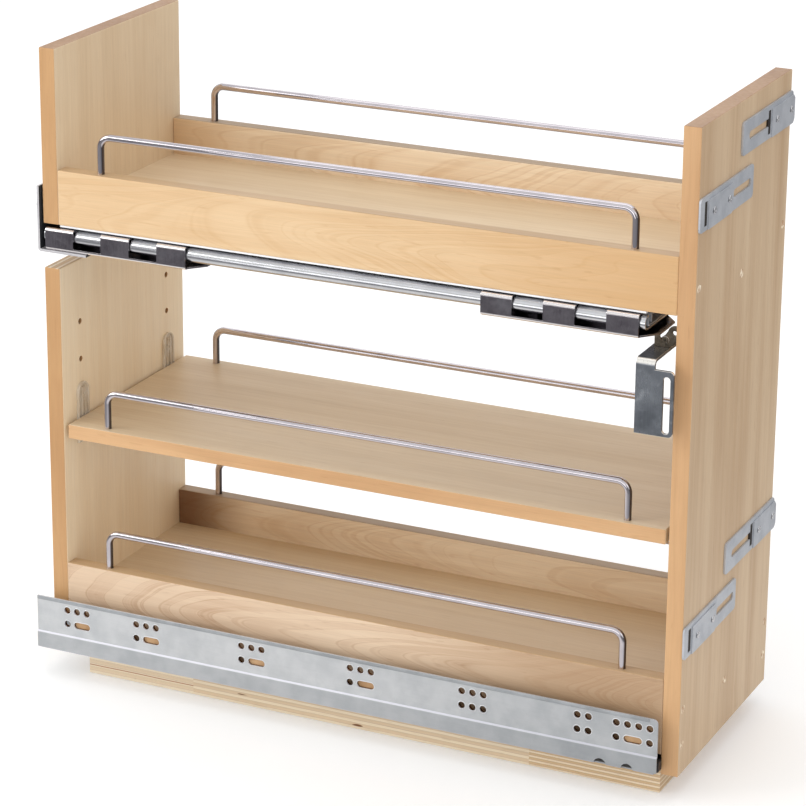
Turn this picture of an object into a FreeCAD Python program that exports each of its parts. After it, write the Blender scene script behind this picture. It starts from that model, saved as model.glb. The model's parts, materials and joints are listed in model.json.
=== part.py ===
import FreeCAD, Part
import math
import os

V = FreeCAD.Vector
os.makedirs("parts", exist_ok=True)

# A pull-out organiser for a kitchen base cabinet. All sizes are in millimetres.
# Design frame: X runs from the rear face of the rear panels (0) to the front face of the front panel,
# Y from the near side (0) to the far side, Z up from the underside of the base.
# to_row() moves finished parts so that the origin is the bottom centre of the whole object.

# ---- driving dimensions ------------------------------------------------------------------------
depth = 550.0                 # rear face of rear panel to front face of front panel
width = 200.0                 # near edge to far edge of the panels
edge_ease = 0.8               # rounding of the panels' edges
rail_ease = 1.0               # and of the rails and the shelf
height = 530.0                # base underside to the top of the panels
panel_t = 14.0
front_bottom_z = 20.0

rail_t = 13.0                 # tray side rails
top_rail_z = 387.0
top_rail_h = 45.0
bottom_rail_z = 36.0
bottom_rail_top = 98.5
floor_drop = 31.0             # tray floor below the rail top
floor_t = 14.0
rear_lower_top = 350.5        # top of the lower rear panel, below the stabiliser gap

shelf_top = 219.0
shelf_t = 12.0
shelf_gap = 3.0               # between the shelf's ends and the panels
shelf_inset = 1.5             # shelf edge behind the panel edge
pin_pitch = 32.0
pin_first_drop = 16.5         # lowest pin row below the shelf's top
pin_r = 2.4
pin_depth = 9.0
pin_y = 29.0                  # pin column from either edge
clip_plate = (2.6, 8.5)       # thickness, and half width of the arched plate
clip_arch_rise = 4.0          # centre of the arch above the second pin
clip_foot_drop = 6.0          # foot of the plate below the first pin
clip_ledge = (13.0, 6.5, 4.0)       # reach under the shelf, half width, thickness
clip_barb = (6.0, 2.0, 2.0)         # reach over the shelf, half width, thickness
clearance = 0.1               # radial play round every screw, pin and wire

joint_head_r = 3.4            # screws that hold the trays between the panels
joint_shank_r = 1.7
joint_length = 45.0
joint_z_top = 408.0
joint_z_bottom = 74.0
joint_z_low = 45.0

wire_r = 2.9
wire_rise = 33.0              # top of wire above the wood
wire_inset = 36.4             # wire leg from the panel's inner face
wire_bend = 9.0
wire_depth = 9.0              # leg inside the wood
shelf_wire_y = 8.5

base_h = 24.0
base_x0 = 28.0
base_x1 = 533.0
base_y = 8.0                  # base edge from the panel edge
base_rear_joint = 126.0
base_front_joint = 424.0
base_strip_w = 52.0
base_screw_y = 60.0           # cabinet-floor screws from the near or far panel edge
base_screw_r = 2.6
base_countersink = 3.0

sheet = 1.2                   # steel of the concealed slides
slide_y = 12.5                # outermost face of the slide outside the panel edge
slide_x0 = -9.0
slide_x1 = 534.6              # inner parts stop short of the front panel
web_x1 = 537.0                # the outer web passes beside the front panel
slide_top = 70.0
slide_step_z = 39.0
slide_step = 1.0
slide_step_rise = 0.9
slide_bend = 0.9
web_end_gap = 1.6             # the web's end beside the front panel stops short of the base
web_corner = 4.0
notch_x = (491.0, 513.0)      # round notches in the web's lower edge
notch_r = 5.0
hole_r = 2.9
hole_pitch = 9.1
hole_row_upper = 61.4
hole_row_lower = 49.4
slot_length = 15.0
hole_groups = (               # x of the first hole, upper holes, lower pattern (h hole, s slot, - gap)
    (19.7, 3, "hs-"), (84.5, 3, "hs-"), (181.0, 3, "hs-"), (277.9, 3, "hs-"),
    (374.5, 3, "hhh"), (471.3, 2, "hh"), (503.3, 4, "hs-h"))

inner_wall_y = 41.4           # inner wall of the cabinet member
inner_lip_y = 36.0
lip_z = 35.0                  # top of the cabinet member's inner lip
mid_x = (-6.0, 534.2)
mid_y = (20.0, 38.0)
mid_web_y = (28.4, 29.6)
mid_z = (30.8, 46.4)          # underside and top of the middle member
drawer_z = 41.0               # lips of the drawer member
drawer_y = (17.0, 40.2)       # outer and inner wall of the drawer member
drawer_lip = 7.0
drawer_flange_y = 54.0
soft_close_box = ((5.0, 95.0), (-9.5, 15.5), 34.2)       # x, y and top
soft_close_relief = (80.0, 4.4)                          # x and radius of the hole over a screw head
bumper_box = ((529.0, 537.6), (-9.8, -2.0), 33.6)
roller_pitch = 20.0
lower_roller_r = 2.5
upper_roller_r = 2.6
cage_half_t = 0.5
roller_inset = 1.5            # roller's ends from the edges of its cage
upper_cage_shift = -0.5       # keeps the upper cage clear of the drawer member's walls

slide_screw = (3.6, 1.8, 1.8, 18.0)     # head radius, head height, shank radius, shank length
slide_screw_x = (80.0, 200.0, 350.0, 480.0)
slide_screw_y = 14.0
tray_screw = (3.6, 1.8, 1.8, 11.0)
tray_screw_x = (60.0, 270.0, 480.0)
tray_screw_y = 48.0

travel = 530.0                # full extension of the cart
cage_length = 200.0

rail_edge_r = 5.75            # rolled edge of the stabiliser's outer rail
rail_axis_z = 377.25
rail_y0 = -1.0
rail_width = 61.0
rail_sheet = 1.5
finger_w = 25.5
finger_pitch = 50.5
bracket_rear_x = 3.0
bracket_front_x = 381.0
bracket_bottom = 366.0
bracket_play = 0.3            # fingers from the rolled edge
finger_bend = 2.4
finger_lip = 7.0              # reach of the fingers over the rail
window_sill = 3.4             # lower edge of the gaps between fingers, above the bracket's underside
tongue = (11.0, 15.0, 15.0)   # length, and how far each side tapers in
packing_size = (18.0, 24.0)
packing_x = (29.0, 84.0)      # distance blocks from the bracket's rear end
rail_x0 = 1.0
rail_x1 = 512.0
rail_lip = 2.0
race_wall = 1.2               # steel of the middle and inner rails
mid_rail_inset = 7.2
inner_rail_inset = 13.4
inner_top = 382.4
inner_drop = 1.6              # inner rail's walls below the rail's axis
tray_plate_y = (0.6, 58.4)
tray_plate_z = 385.4          # plate under the top tray, down from the tray's underside
pad_x = (60.0, 262.0, 464.0)  # pads between the inner rail and the tray plate
pad_half = (20.0, 11.0)
inner_screw = (3.6, 1.6, 1.8, 15.0)
ball_pitch = 20.0
ball_strip_t = 1.0
outer_race = (4.35, 2.2, 3.0)       # from the rail's edge, ball radius, strip's half height
inner_race = (10.9, 2.1, 1.0)       # from the rail's edge, ball radius, balls above the rail's axis
tooth_pitch = 5.0
tooth_z = (382.0, 385.0)

front_plate_t = 2.5
front_plate_x = (510.0, 540.0)
front_plate_z = 297.0
front_plate_corner = 3.5
front_slot = (534.5, 321.5, 44.0, 2.8)     # x, z, length and radius of the upright slot
strap_x1 = 525.0
strap_y1 = 44.0
strap_z = 353.0               # underside of the strap
shoulder_z = 348.0            # top of the plate beside the strap
hanger_y = 18.0
hanger_t = 2.0
hanger_foot = (512.5, 524.5, 24.0)         # x from and to, and width
hanger_ear = (516.6, 20.0)                 # inner edge of the ear, and width of its flange
hanger_lever = ((530.5, 360.3), (532.8, 365.3), (524.5, 370.9))     # x and z of its outline
hanger_crotch = ((520.2, 364.0), (518.2, 360.8), (516.6, 363.0))    # between lever and ear
hanger_eye = (528.3, 367.3, 5.4, 1.8)      # x, z, radius of the lever's round end and of its hole
hanger_pivot = (521.4, 361.6, 2.6, 1.5)    # x, z, radius and height of the pivot's head
strap_rivet = (517.5, 31.0)   # x and y

rear_plate_t = 2.0
rear_plate_x = -4.0
rear_plate_top = 418.0
rear_foot_x = 40.0
rear_hole_y = (22.0, 46.0)
rear_hole_z = 404.0
rear_hole_r = 2.75
rear_bolt = (4.0, 3.8, 2.5, 2.0)           # head radius, head height, shank radius, shank length
rear_bolt_y = 6.0
rear_bolt_z = 400.5
rivet_r = 2.0
rivet_head = (3.6, 1.2)

door_plate = (1.8, 114.0, 26.0)     # thickness, length, height
door_plate_corner = 3.5
door_adjuster = (0.9, 52.5, 22.5)
door_adjuster_chamfer = 3.0
door_adjuster_inset = 15.5    # adjuster from the near end of a near plate
door_adjuster_past = 2.0      # adjuster past the panel's far edge
door_screw = (2.8, 0.9, 1.75, 10.0)     # head radius, head height, shank radius, depth in the wood
door_screw_inset = 11.5       # first screw from the adjuster's end
door_screw_drop = 1.0         # screws below the middle of the plate
door_screw_pitch = 33.0
door_slot_r = 3.1
door_slot_near = (70.0, 109.0)      # slot's ends from the near end of a near plate
door_slot_far = (13.5, 59.6)        # on a far plate it runs into the gap beside the adjuster
door_slit = (1.2, 7.0)        # gap in the plate beside the adjuster: nearer and further side
door_slit_z = (-9.5, 9.0)     # its lower and upper end from the middle of the plate
bracket_z_near = (130.0, 464.0)
bracket_stagger = 37.0        # the far brackets sit higher
adjust_range = 2.0

# ---- derived positions -------------------------------------------------------------------------
panel_x = depth - panel_t                 # rear face of the front panel
top_floor_z = top_rail_z + top_rail_h - floor_drop - floor_t
bottom_floor_z = bottom_rail_top - floor_drop - floor_t
shelf_bottom = shelf_top - shelf_t
pin_rows = [shelf_top - pin_first_drop + pin_pitch * row for row in range(4)]
adjuster_face_x = depth + door_plate[0] + door_adjuster[0]
screw_head_x = adjuster_face_x + door_screw[1]
origin_x = (slide_x0 + screw_head_x) / 2
origin_y = width / 2
cage_x0 = (travel - cage_length) / 2
rail_y1 = rail_y0 + rail_width
rail_mid = (rail_y0 + rail_y1) / 2
wire_x = (panel_t + wire_inset, panel_x - wire_inset)


# ---- helpers -----------------------------------------------------------------------------------
def to_row(shape):
    """Move a finished shape from the design frame to the row frame."""
    return shape.translated(V(-origin_x, -origin_y, 0))


def save(name, *solids):
    """Write one node; identical pieces share it as separate solids."""
    shape = solids[0] if len(solids) == 1 else Part.makeCompound(list(solids))
    to_row(shape).exportStep("parts/" + name + ".step")


def far(shape):
    """The far-side twin of a near-side shape."""
    return shape.mirror(V(0, width / 2, 0), V(0, 1, 0))


def box(x0, x1, y0, y1, z0, z1):
    return Part.makeBox(x1 - x0, y1 - y0, z1 - z0, V(x0, y0, z0))


def rod(start, direction, radius, length):
    return Part.makeCylinder(radius, length, V(*start), V(*direction))


def eased(shape, radius):
    """Break every edge of a plain board."""
    return shape.makeFillet(radius, shape.Edges)


def slot_cutter(centre, axis, along, length, radius, depth_cut):
    """A round-ended slot: centre of its near face, drilling axis, long direction, end-to-end length."""
    half = V(*along) * (length / 2 - radius)
    start = V(*centre)
    drill = V(*axis)
    side = drill.cross(V(*along)) * radius
    corners = [start - half - side, start + half - side, start + half + side, start - half + side]
    middle = Part.Face(Part.makePolygon(corners + corners[:1])).extrude(drill * depth_cut)
    ends = [Part.makeCylinder(radius, depth_cut, start + shift, drill) for shift in (half, -half)]
    return middle.fuse(ends).removeSplitter()


def bent_sheet(points, thickness, bend, place, sweep):
    """Extrude a bent strip. points is its middle line in a plane, place maps (a, b) to space,
    bend is the middle-line radius of every fold, and sweep is the extrusion vector."""
    points = [FreeCAD.Vector(a, b, 0) for a, b in points]
    ways = [(q - p).normalize() for p, q in zip(points, points[1:])]
    edges = {1: [], -1: []}
    last = {side: points[0] + V(-ways[0].y, ways[0].x, 0) * (side * thickness / 2) for side in (1, -1)}
    starts = dict(last)
    for corner, before, after in zip(points[1:-1], ways, ways[1:]):
        half_turn = before.getAngle(after) / 2
        reach = bend * math.tan(half_turn)
        inward = (after - before).normalize()
        centre = corner + inward * (bend / math.cos(half_turn))
        for side in (1, -1):
            first = corner - before * reach + V(-before.y, before.x, 0) * (side * thickness / 2)
            second = corner + after * reach + V(-after.y, after.x, 0) * (side * thickness / 2)
            radius = (first - centre).Length
            middle = centre - inward * radius
            edges[side].append(Part.LineSegment(place(last[side]), place(first)).toShape())
            edges[side].append(Part.Arc(place(first), place(middle), place(second)).toShape())
            last[side] = second
    for side in (1, -1):
        end = points[-1] + V(-ways[-1].y, ways[-1].x, 0) * (side * thickness / 2)
        edges[side].append(Part.LineSegment(place(last[side]), place(end)).toShape())
        last[side] = end
    caps = [Part.LineSegment(place(ends[1]), place(ends[-1])).toShape() for ends in (starts, last)]
    outline = Part.Wire(Part.__sortEdges__(edges[1] + edges[-1] + caps))
    return Part.Face(outline).extrude(V(*sweep))


def yz(x):
    """Place a (y, z) outline in the cross-section at x."""
    return lambda p: V(x, p.x, p.y)


def xz(y):
    """Place an (x, z) outline in the plane at y."""
    return lambda p: V(p.x, y, p.y)


# ---- fasteners ---------------------------------------------------------------------------------
def countersunk(head, direction, head_r, shank_r, length):
    """A countersunk screw: head is the centre of its flat face, direction points into the wood."""
    start = V(*head)
    way = V(*direction)
    cone = Part.makeCone(head_r, shank_r, head_r - shank_r, start, way)
    return cone.fuse(Part.makeCylinder(shank_r, length, start, way)).removeSplitter()


def pan_head(seat, direction, head_r, head_h, shank_r, length):
    """A pan-head screw: seat is the centre of the surface it sits on, direction points into the work."""
    start = V(*seat)
    way = V(*direction)
    head = Part.makeCylinder(head_r, head_h, start - way * head_h, way)
    rim = [edge for edge in head.Edges if (edge.CenterOfMass - start).dot(way) < -head_h / 2
           and edge.Curve.TypeId == "Part::GeomCircle"]
    head = head.makeFillet(head_h * 0.6, rim)
    return head.fuse(Part.makeCylinder(shank_r, length, start, way)).removeSplitter()


# Joint screws: (y, z) on the panel faces.
rail_mid_y = rail_t / 2
top_joints = [(rail_mid_y, joint_z_top), (width - rail_mid_y, joint_z_top),
              (width / 2, top_floor_z + floor_t / 2)]
bottom_joints = [(rail_mid_y, joint_z_bottom), (width - rail_mid_y, joint_z_bottom),
                 (width / 2, bottom_floor_z + floor_t / 2)]
low_joints = [(rail_mid_y, joint_z_low), (width - rail_mid_y, joint_z_low)]
front_joints = top_joints + bottom_joints + low_joints
rear_joints = top_joints + bottom_joints


def joint_screws(play):
    """All joint screws, or their holes when play is above zero."""
    places = [(depth, y, z, -1) for y, z in front_joints] + [(0, y, z, 1) for y, z in rear_joints]
    size = (joint_head_r + play, joint_shank_r + play, joint_length + play)
    return [countersunk((x, y, z), (way, 0, 0), *size) for x, y, z, way in places]


joint_holes = joint_screws(clearance)


# ---- panels, trays and shelf -------------------------------------------------------------------
def pin_holes(face_x, direction):
    made = []
    for y in (pin_y, width - pin_y):
        for z in pin_rows:
            made.append(rod((face_x, y, z), (direction, 0, 0), pin_r + clearance, pin_depth + 1))
    return made


def bracket_places():
    """Name, plate's first y, adjuster's first y, slot's ends and middle height of each bracket."""
    near_y = -1.0
    far_y = width - door_plate[1]
    far_adjuster_y = width + door_adjuster_past - door_adjuster[1]
    places = []
    near_slot = [near_y + y for y in door_slot_near]
    far_slot = [far_y + y for y in door_slot_far]
    for level, z in zip(("lower", "upper"), bracket_z_near):
        places.append((level + "_near", near_y, near_y + door_adjuster_inset, near_slot, z))
        places.append((level + "_far", far_y, far_adjuster_y, far_slot, z + bracket_stagger))
    return places


def door_screw_ys(adjuster_y):
    return [adjuster_y + door_screw_inset + step * door_screw_pitch for step in (0, 1)]


def door_screws(play):
    head_r, head_h, shank_r, deep = door_screw
    made = []
    for _, _, adjuster_y, _, z in bracket_places():
        for y in door_screw_ys(adjuster_y):
            seat = (adjuster_face_x, y, z - door_screw_drop)
            through = deep + door_plate[0] + door_adjuster[0] + play
            made.append(pan_head(seat, (-1, 0, 0), head_r, head_h, shank_r + play, through))
    return made


def make_panels():
    front = eased(box(panel_x, depth, 0, width, front_bottom_z, height), edge_ease)
    front = front.cut(joint_holes + pin_holes(panel_x, 1) + door_screws(clearance))
    upper = eased(box(0, panel_t, 0, width, top_rail_z, height), edge_ease).cut(joint_holes)
    lower = eased(box(0, panel_t, 0, width, bottom_floor_z, rear_lower_top), edge_ease)
    lower = lower.cut(joint_holes + pin_holes(panel_t, -1))
    save("front_panel", front)
    save("rear_panel_upper", upper)
    save("rear_panel_lower", lower)
    save("panel_screws", *joint_screws(0))


def wire_leg_holes(y, surface_z):
    return [rod((x, y, surface_z + 1), (0, 0, -1), wire_r + clearance, wire_depth + 1.2) for x in wire_x]


def make_wire(name, y, surface_z):
    """A rod with a leg at each end, let into the wood, and a level run between two bends."""
    x0, x1 = wire_x
    foot = surface_z - wire_depth
    top = surface_z + wire_rise - wire_r
    lean = wire_bend * (1 - math.cos(math.pi / 4))
    corners = [V(x0, y, foot), V(x0, y, top - wire_bend), V(x0 + wire_bend, y, top),
               V(x1 - wire_bend, y, top), V(x1, y, top - wire_bend), V(x1, y, foot)]
    path = Part.Wire([
        Part.LineSegment(corners[0], corners[1]).toShape(),
        Part.Arc(corners[1], V(x0 + lean, y, top - lean), corners[2]).toShape(),
        Part.LineSegment(corners[2], corners[3]).toShape(),
        Part.Arc(corners[3], V(x1 - lean, y, top - lean), corners[4]).toShape(),
        Part.LineSegment(corners[4], corners[5]).toShape()])
    section = Part.Wire([Part.Circle(corners[0], V(0, 0, 1), wire_r).toShape()])
    save(name, path.makePipeShell([section], True, True))


def make_tray(name, rail_z, rail_top, floor_z, floor_cuts):
    rail = eased(box(panel_t, panel_x, 0, rail_t, rail_z, rail_top), rail_ease)
    near = rail.cut(joint_holes + wire_leg_holes(rail_mid_y, rail_top))
    opposite = far(rail).cut(joint_holes + wire_leg_holes(width - rail_mid_y, rail_top))
    floor = box(panel_t, panel_x, rail_t, width - rail_t, floor_z, floor_z + floor_t)
    save(name + "_tray_rail_near", near)
    save(name + "_tray_rail_far", opposite)
    save(name + "_tray_floor", floor.cut(joint_holes + floor_cuts))
    make_wire("wire_" + name + "_near", rail_mid_y, rail_top)
    make_wire("wire_" + name + "_far", width - rail_mid_y, rail_top)


def make_shelf():
    shelf = eased(box(panel_t + shelf_gap, panel_x - shelf_gap, shelf_inset, width - shelf_inset,
                      shelf_bottom, shelf_top), rail_ease)
    for y in (shelf_wire_y, width - shelf_wire_y):
        shelf = shelf.cut(wire_leg_holes(y, shelf_top))
    save("middle_shelf", shelf)
    make_wire("wire_middle_near", shelf_wire_y, shelf_top)
    make_wire("wire_middle_far", width - shelf_wire_y, shelf_top)


def make_clips():
    """Clear clips: an arched plate between shelf end and panel, a ledge under the shelf, two pins."""
    plate_t, half = clip_plate
    arch_z = pin_rows[1] + clip_arch_rise
    foot_z = pin_rows[0] - clip_foot_drop
    plate = box(0, plate_t, -half, half, foot_z, arch_z).fuse(rod((0, 0, arch_z), (1, 0, 0), half, plate_t))
    reach, half, thick = clip_ledge
    ledge = box(0, reach, -half, half, shelf_bottom - thick, shelf_bottom)
    reach, half, thick = clip_barb
    barb = box(0, reach, -half, half, shelf_top, shelf_top + thick)
    pins = [rod((0, 0, z), (-1, 0, 0), pin_r, pin_depth) for z in pin_rows[:2]]
    clip = plate.fuse([ledge, barb] + pins).removeSplitter()
    turned = clip.mirror(V(0, 0, 0), V(1, 0, 0))
    solids = []
    for y in (pin_y, width - pin_y):
        solids.append(clip.translated(V(panel_t, y, 0)))
        solids.append(turned.translated(V(panel_x, y, 0)))
    save("shelf_clips", *solids)


# ---- door brackets -----------------------------------------------------------------------------
def make_door_brackets():
    """A slotted plate screwed to the front panel, and an adjusting plate under the same two screws."""
    thick, length, tall = door_plate
    adj_thick, adj_length, adj_tall = door_adjuster
    for name, plate_y, adjuster_y, (slot_y0, slot_y1), z in bracket_places():
        bottom = z - tall / 2
        plate = box(depth, depth + thick, plate_y, plate_y + length, bottom, bottom + tall)
        ends = [e for e in plate.Edges if abs(e.tangentAt(e.FirstParameter).x) > 0.9]
        plate = plate.makeFillet(door_plate_corner, ends)
        slot_centre = (depth - 1, (slot_y0 + slot_y1) / 2, z)
        slot_run = slot_y1 - slot_y0
        opening = slot_cutter(slot_centre, (1, 0, 0), (0, 1, 0), slot_run, door_slot_r, thick + 2)
        slit = box(depth - 1, depth + thick + 1, adjuster_y - door_slit[1], adjuster_y - door_slit[0],
                   z + door_slit_z[0], z + door_slit_z[1])
        save("door_bracket_plate_" + name, plate.cut([opening, slit] + door_screws(clearance)))

        face = depth + thick
        adjuster = box(face, face + adj_thick, adjuster_y, adjuster_y + adj_length, bottom, bottom + adj_tall)
        outer = [e for e in adjuster.Edges if abs(e.tangentAt(e.FirstParameter).x) > 0.9
                 and e.CenterOfMass.y > adjuster_y + adj_length / 2]
        adjuster = adjuster.makeChamfer(door_adjuster_chamfer, outer)
        for y in door_screw_ys(adjuster_y):
            half_wide = door_screw[2] + 2 * clearance
            travel_slot = slot_cutter((face - 1, y, z - door_screw_drop), (1, 0, 0), (0, 1, 0),
                                      2 * (half_wide + adjust_range), half_wide, adj_thick + 2)
            adjuster = adjuster.cut(travel_slot)
        save("door_bracket_adjuster_" + name, adjuster)
    save("door_bracket_screws", *door_screws(0))


# ---- plywood base ------------------------------------------------------------------------------
def upright_screws(seats, way, size, play):
    """Pan-head screws at the seats, or their holes when play is above zero."""
    head_r, head_h, shank_r, length = size
    return [pan_head(seat, (0, 0, way), head_r, head_h, shank_r + play, length + play) for seat in seats]


def slide_base_screws(play):
    seats = [(x, y, base_h + sheet) for y in (slide_screw_y, width - slide_screw_y) for x in slide_screw_x]
    return upright_screws(seats, -1, slide_screw, play)


def cabinet_screw_holes():
    """Countersunk holes that take the screws into the cabinet floor."""
    made = []
    for x in ((base_x0 + base_rear_joint) / 2, (base_front_joint + base_x1) / 2):
        for y in (base_screw_y, width - base_screw_y):
            made.append(rod((x, y, -1), (0, 0, 1), base_screw_r, base_h + 2))
            sink_z = base_h - base_countersink
            mouth_r = base_screw_r + base_countersink
            made.append(Part.makeCone(base_screw_r, mouth_r, base_countersink, V(x, y, sink_z), V(0, 0, 1)))
    return made


def make_base():
    cuts = slide_base_screws(clearance) + cabinet_screw_holes()
    y0 = base_y
    y1 = width - base_y
    boards = {
        "base_board_rear": box(base_x0, base_rear_joint, y0, y1, 0, base_h),
        "base_board_front": box(base_front_joint, base_x1, y0, y1, 0, base_h),
        "base_strip_near": box(base_rear_joint, base_front_joint, y0, y0 + base_strip_w, 0, base_h),
        "base_strip_far": box(base_rear_joint, base_front_joint, y1 - base_strip_w, y1, 0, base_h)}
    for name, board in boards.items():
        save(name, board.cut(cuts))


# ---- concealed slides (near side; the far side is its mirror image) ----------------------------
def slide_holes():
    made = []
    for first, upper, lower in hole_groups:
        for index in range(upper):
            made.append(rod((first + index * hole_pitch, -slide_y - 1, hole_row_upper), (0, 1, 0), hole_r, 5))
        for index, kind in enumerate(lower):
            x = first + index * hole_pitch
            if kind == "h":
                made.append(rod((x, -slide_y - 1, hole_row_lower), (0, 1, 0), hole_r, 5))
            if kind == "s":
                centre = (x + hole_pitch / 2, -slide_y - 1, hole_row_lower)
                made.append(slot_cutter(centre, (0, 1, 0), (1, 0, 0), slot_length, hole_r, 5))
    return made


def cabinet_member():
    """Outer web with a step, bottom flange on the base, inner wall with a lip over the middle member."""
    low_y = -slide_y + sheet / 2
    high_y = low_y + slide_step
    floor_z = base_h + sheet / 2
    web = [(high_y, slide_top), (high_y, slide_step_z), (low_y, slide_step_z - slide_step_rise)]
    inner_y = inner_wall_y
    lip_mid = lip_z - sheet / 2
    line = web + [(low_y, floor_z), (inner_y, floor_z), (inner_y, lip_mid), (inner_lip_y, lip_mid)]
    member = bent_sheet(line, sheet, slide_bend, yz(slide_x0), (slide_x1 - slide_x0, 0, 0))
    tongue_line = web + [(low_y, base_h + web_end_gap)]
    web_end = bent_sheet(tongue_line, sheet, slide_bend, yz(slide_x1), (web_x1 - slide_x1, 0, 0))
    member = member.fuse(web_end).removeSplitter()
    notches = [rod((x, -slide_y - 1, base_h), (0, 1, 0), notch_r, 3) for x in notch_x]
    corner_x, corner_z = web_x1 - web_corner, slide_top - web_corner
    rounding = box(corner_x, web_x1 + 1, -slide_y - 1, -slide_y + 4, corner_z, slide_top + 1)
    rounding = rounding.cut(rod((corner_x, -slide_y - 1, corner_z), (0, 1, 0), web_corner, 5))
    screw_holes = [rod((x, slide_screw_y, base_h - 1), (0, 0, 1), slide_screw[2] + clearance, 4)
                   for x in slide_screw_x]
    return member.cut(slide_holes() + notches + [rounding] + screw_holes)


def mid_member():
    """Rolled I-section that rides between the two roller cages."""
    low, high = mid_z
    section = [box(*mid_x, *mid_y, low, low + sheet),
               box(*mid_x, *mid_web_y, low, high),
               box(*mid_x, *mid_y, high - sheet, high)]
    return section[0].fuse(section[1:]).removeSplitter()


def drawer_member():
    """Inverted channel under the tray floor, with lips below the middle member and a screw flange."""
    outer, inner = drawer_y
    top = bottom_floor_z
    length = (0, panel_x)
    section = [box(*length, outer, drawer_flange_y, top - sheet, top),
               box(*length, outer, outer + sheet, drawer_z, top),
               box(*length, inner - sheet, inner, drawer_z, top),
               box(*length, outer, outer + drawer_lip, drawer_z, drawer_z + sheet),
               box(*length, inner - drawer_lip, inner, drawer_z, drawer_z + sheet)]
    member = section[0].fuse(section[1:]).removeSplitter()
    hole_r_here = tray_screw[2] + clearance
    return member.cut([rod((x, tray_screw_y, top - 5), (0, 0, 1), hole_r_here, 8) for x in tray_screw_x])


def roller_cage(z_mid, radius, y0, y1):
    """A thin plate that carries a row of steel rollers."""
    plate = box(cage_x0, cage_x0 + cage_length, y0, y1, z_mid - cage_half_t, z_mid + cage_half_t)
    count = int(cage_length // roller_pitch)
    start_y = y0 + roller_inset
    length = y1 - start_y - roller_inset
    rollers = [rod((cage_x0 + roller_pitch * (index + 0.5), start_y, z_mid), (0, 1, 0), radius, length)
               for index in range(count)]
    return plate.fuse(rollers).removeSplitter()


def tray_screws(play):
    seats = [(x, y, bottom_floor_z - sheet) for y in (tray_screw_y, width - tray_screw_y) for x in tray_screw_x]
    return upright_screws(seats, 1, tray_screw, play)


def make_slides():
    lower_mid = (base_h + sheet + mid_z[0]) / 2
    upper_mid = (mid_z[1] + bottom_floor_z - sheet) / 2
    upper_y = [y + upper_cage_shift for y in mid_y]
    across, along, top = soft_close_box
    relief_x, relief_r = soft_close_relief
    soft_close = eased(box(*across, *along, base_h + sheet, top), 1.0)
    soft_close = soft_close.cut(rod((relief_x, slide_screw_y, base_h), (0, 0, 1), relief_r, 12))
    across, along, top = bumper_box
    bumper = eased(box(*across, *along, base_h + sheet, top), 0.8)
    pieces = {
        "slide_cabinet_member": cabinet_member(),
        "slide_mid_member": mid_member(),
        "slide_drawer_member": drawer_member(),
        "slide_cage_lower": roller_cage(lower_mid, lower_roller_r, *mid_y),
        "slide_cage_upper": roller_cage(upper_mid, upper_roller_r, *upper_y),
        "slide_soft_close": soft_close}
    for name, piece in pieces.items():
        save(name + "_near", piece)
        save(name + "_far", far(piece))
    save("slide_front_bumpers", bumper, far(bumper))
    save("slide_base_screws", *slide_base_screws(0))
    save("slide_tray_screws", *tray_screws(0))


# ---- stabiliser under the top tray -------------------------------------------------------------
def outer_rail():
    """Flat rail whose two edges roll up and inwards into ball races."""
    near_axis = rail_y0 + rail_edge_r
    far_axis = rail_y1 - rail_edge_r
    inner_r = rail_edge_r - rail_sheet
    low, high = rail_axis_z - rail_edge_r, rail_axis_z + rail_edge_r

    def edge_set(axis_y, side):
        """Both arcs and the lip of one rolled edge; side is -1 near, 1 far."""
        bottom_out, top_out = V(rail_x0, axis_y, low), V(rail_x0, axis_y, high)
        bottom_in, top_in = V(rail_x0, axis_y, low + rail_sheet), V(rail_x0, axis_y, high - rail_sheet)
        tip_out = V(rail_x0, axis_y - side * rail_lip, high)
        tip_in = V(rail_x0, axis_y - side * rail_lip, high - rail_sheet)
        return [Part.Arc(bottom_out, V(rail_x0, axis_y + side * rail_edge_r, rail_axis_z), top_out).toShape(),
                Part.LineSegment(top_out, tip_out).toShape(),
                Part.LineSegment(tip_out, tip_in).toShape(),
                Part.LineSegment(tip_in, top_in).toShape(),
                Part.Arc(top_in, V(rail_x0, axis_y + side * inner_r, rail_axis_z), bottom_in).toShape()]

    floor = [Part.LineSegment(V(rail_x0, near_axis, z), V(rail_x0, far_axis, z)).toShape()
             for z in (low, low + rail_sheet)]
    outline = Part.Wire(Part.__sortEdges__(edge_set(near_axis, -1) + edge_set(far_axis, 1) + floor))
    return Part.Face(outline).extrude(V(rail_x1 - rail_x0, 0, 0))


def finger_bracket(x0):
    """A plate under the outer rail with three fingers that wrap up and over each edge of the rail."""
    half_t = rail_sheet / 2
    face_y = rail_y0 - bracket_play - half_t
    top_z = rail_axis_z + rail_edge_r + clearance + half_t
    floor_z = bracket_bottom + half_t
    length = 2 * finger_pitch + finger_w
    near_line = [(rail_y0 + finger_lip, top_z), (face_y, top_z), (face_y, floor_z), (rail_mid, floor_z)]
    near_half = bent_sheet(near_line, rail_sheet, finger_bend, yz(x0), (length, 0, 0))
    sill_z = bracket_bottom + window_sill
    windows = [box(x0 + finger_w + index * finger_pitch, x0 + (index + 1) * finger_pitch,
                   face_y - 5, rail_y0 + finger_lip + 2, sill_z, top_z + 5) for index in (0, 1)]
    near_half = near_half.cut(windows)
    far_half = mirrored_in_rail(near_half)
    reach, near_taper, far_taper = tongue
    near_y, far_y = face_y + 3, rail_y1 - 2
    root_x, tip_x = x0 + length, x0 + length + reach
    corners = [(root_x, near_y), (tip_x, rail_y0 + near_taper), (tip_x, rail_y1 - far_taper), (root_x, far_y)]
    outline = [V(x, y, bracket_bottom) for x, y in corners]
    end = Part.Face(Part.makePolygon(outline + outline[:1])).extrude(V(0, 0, rail_sheet))
    return near_half.fuse([far_half, end]).removeSplitter()


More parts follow.
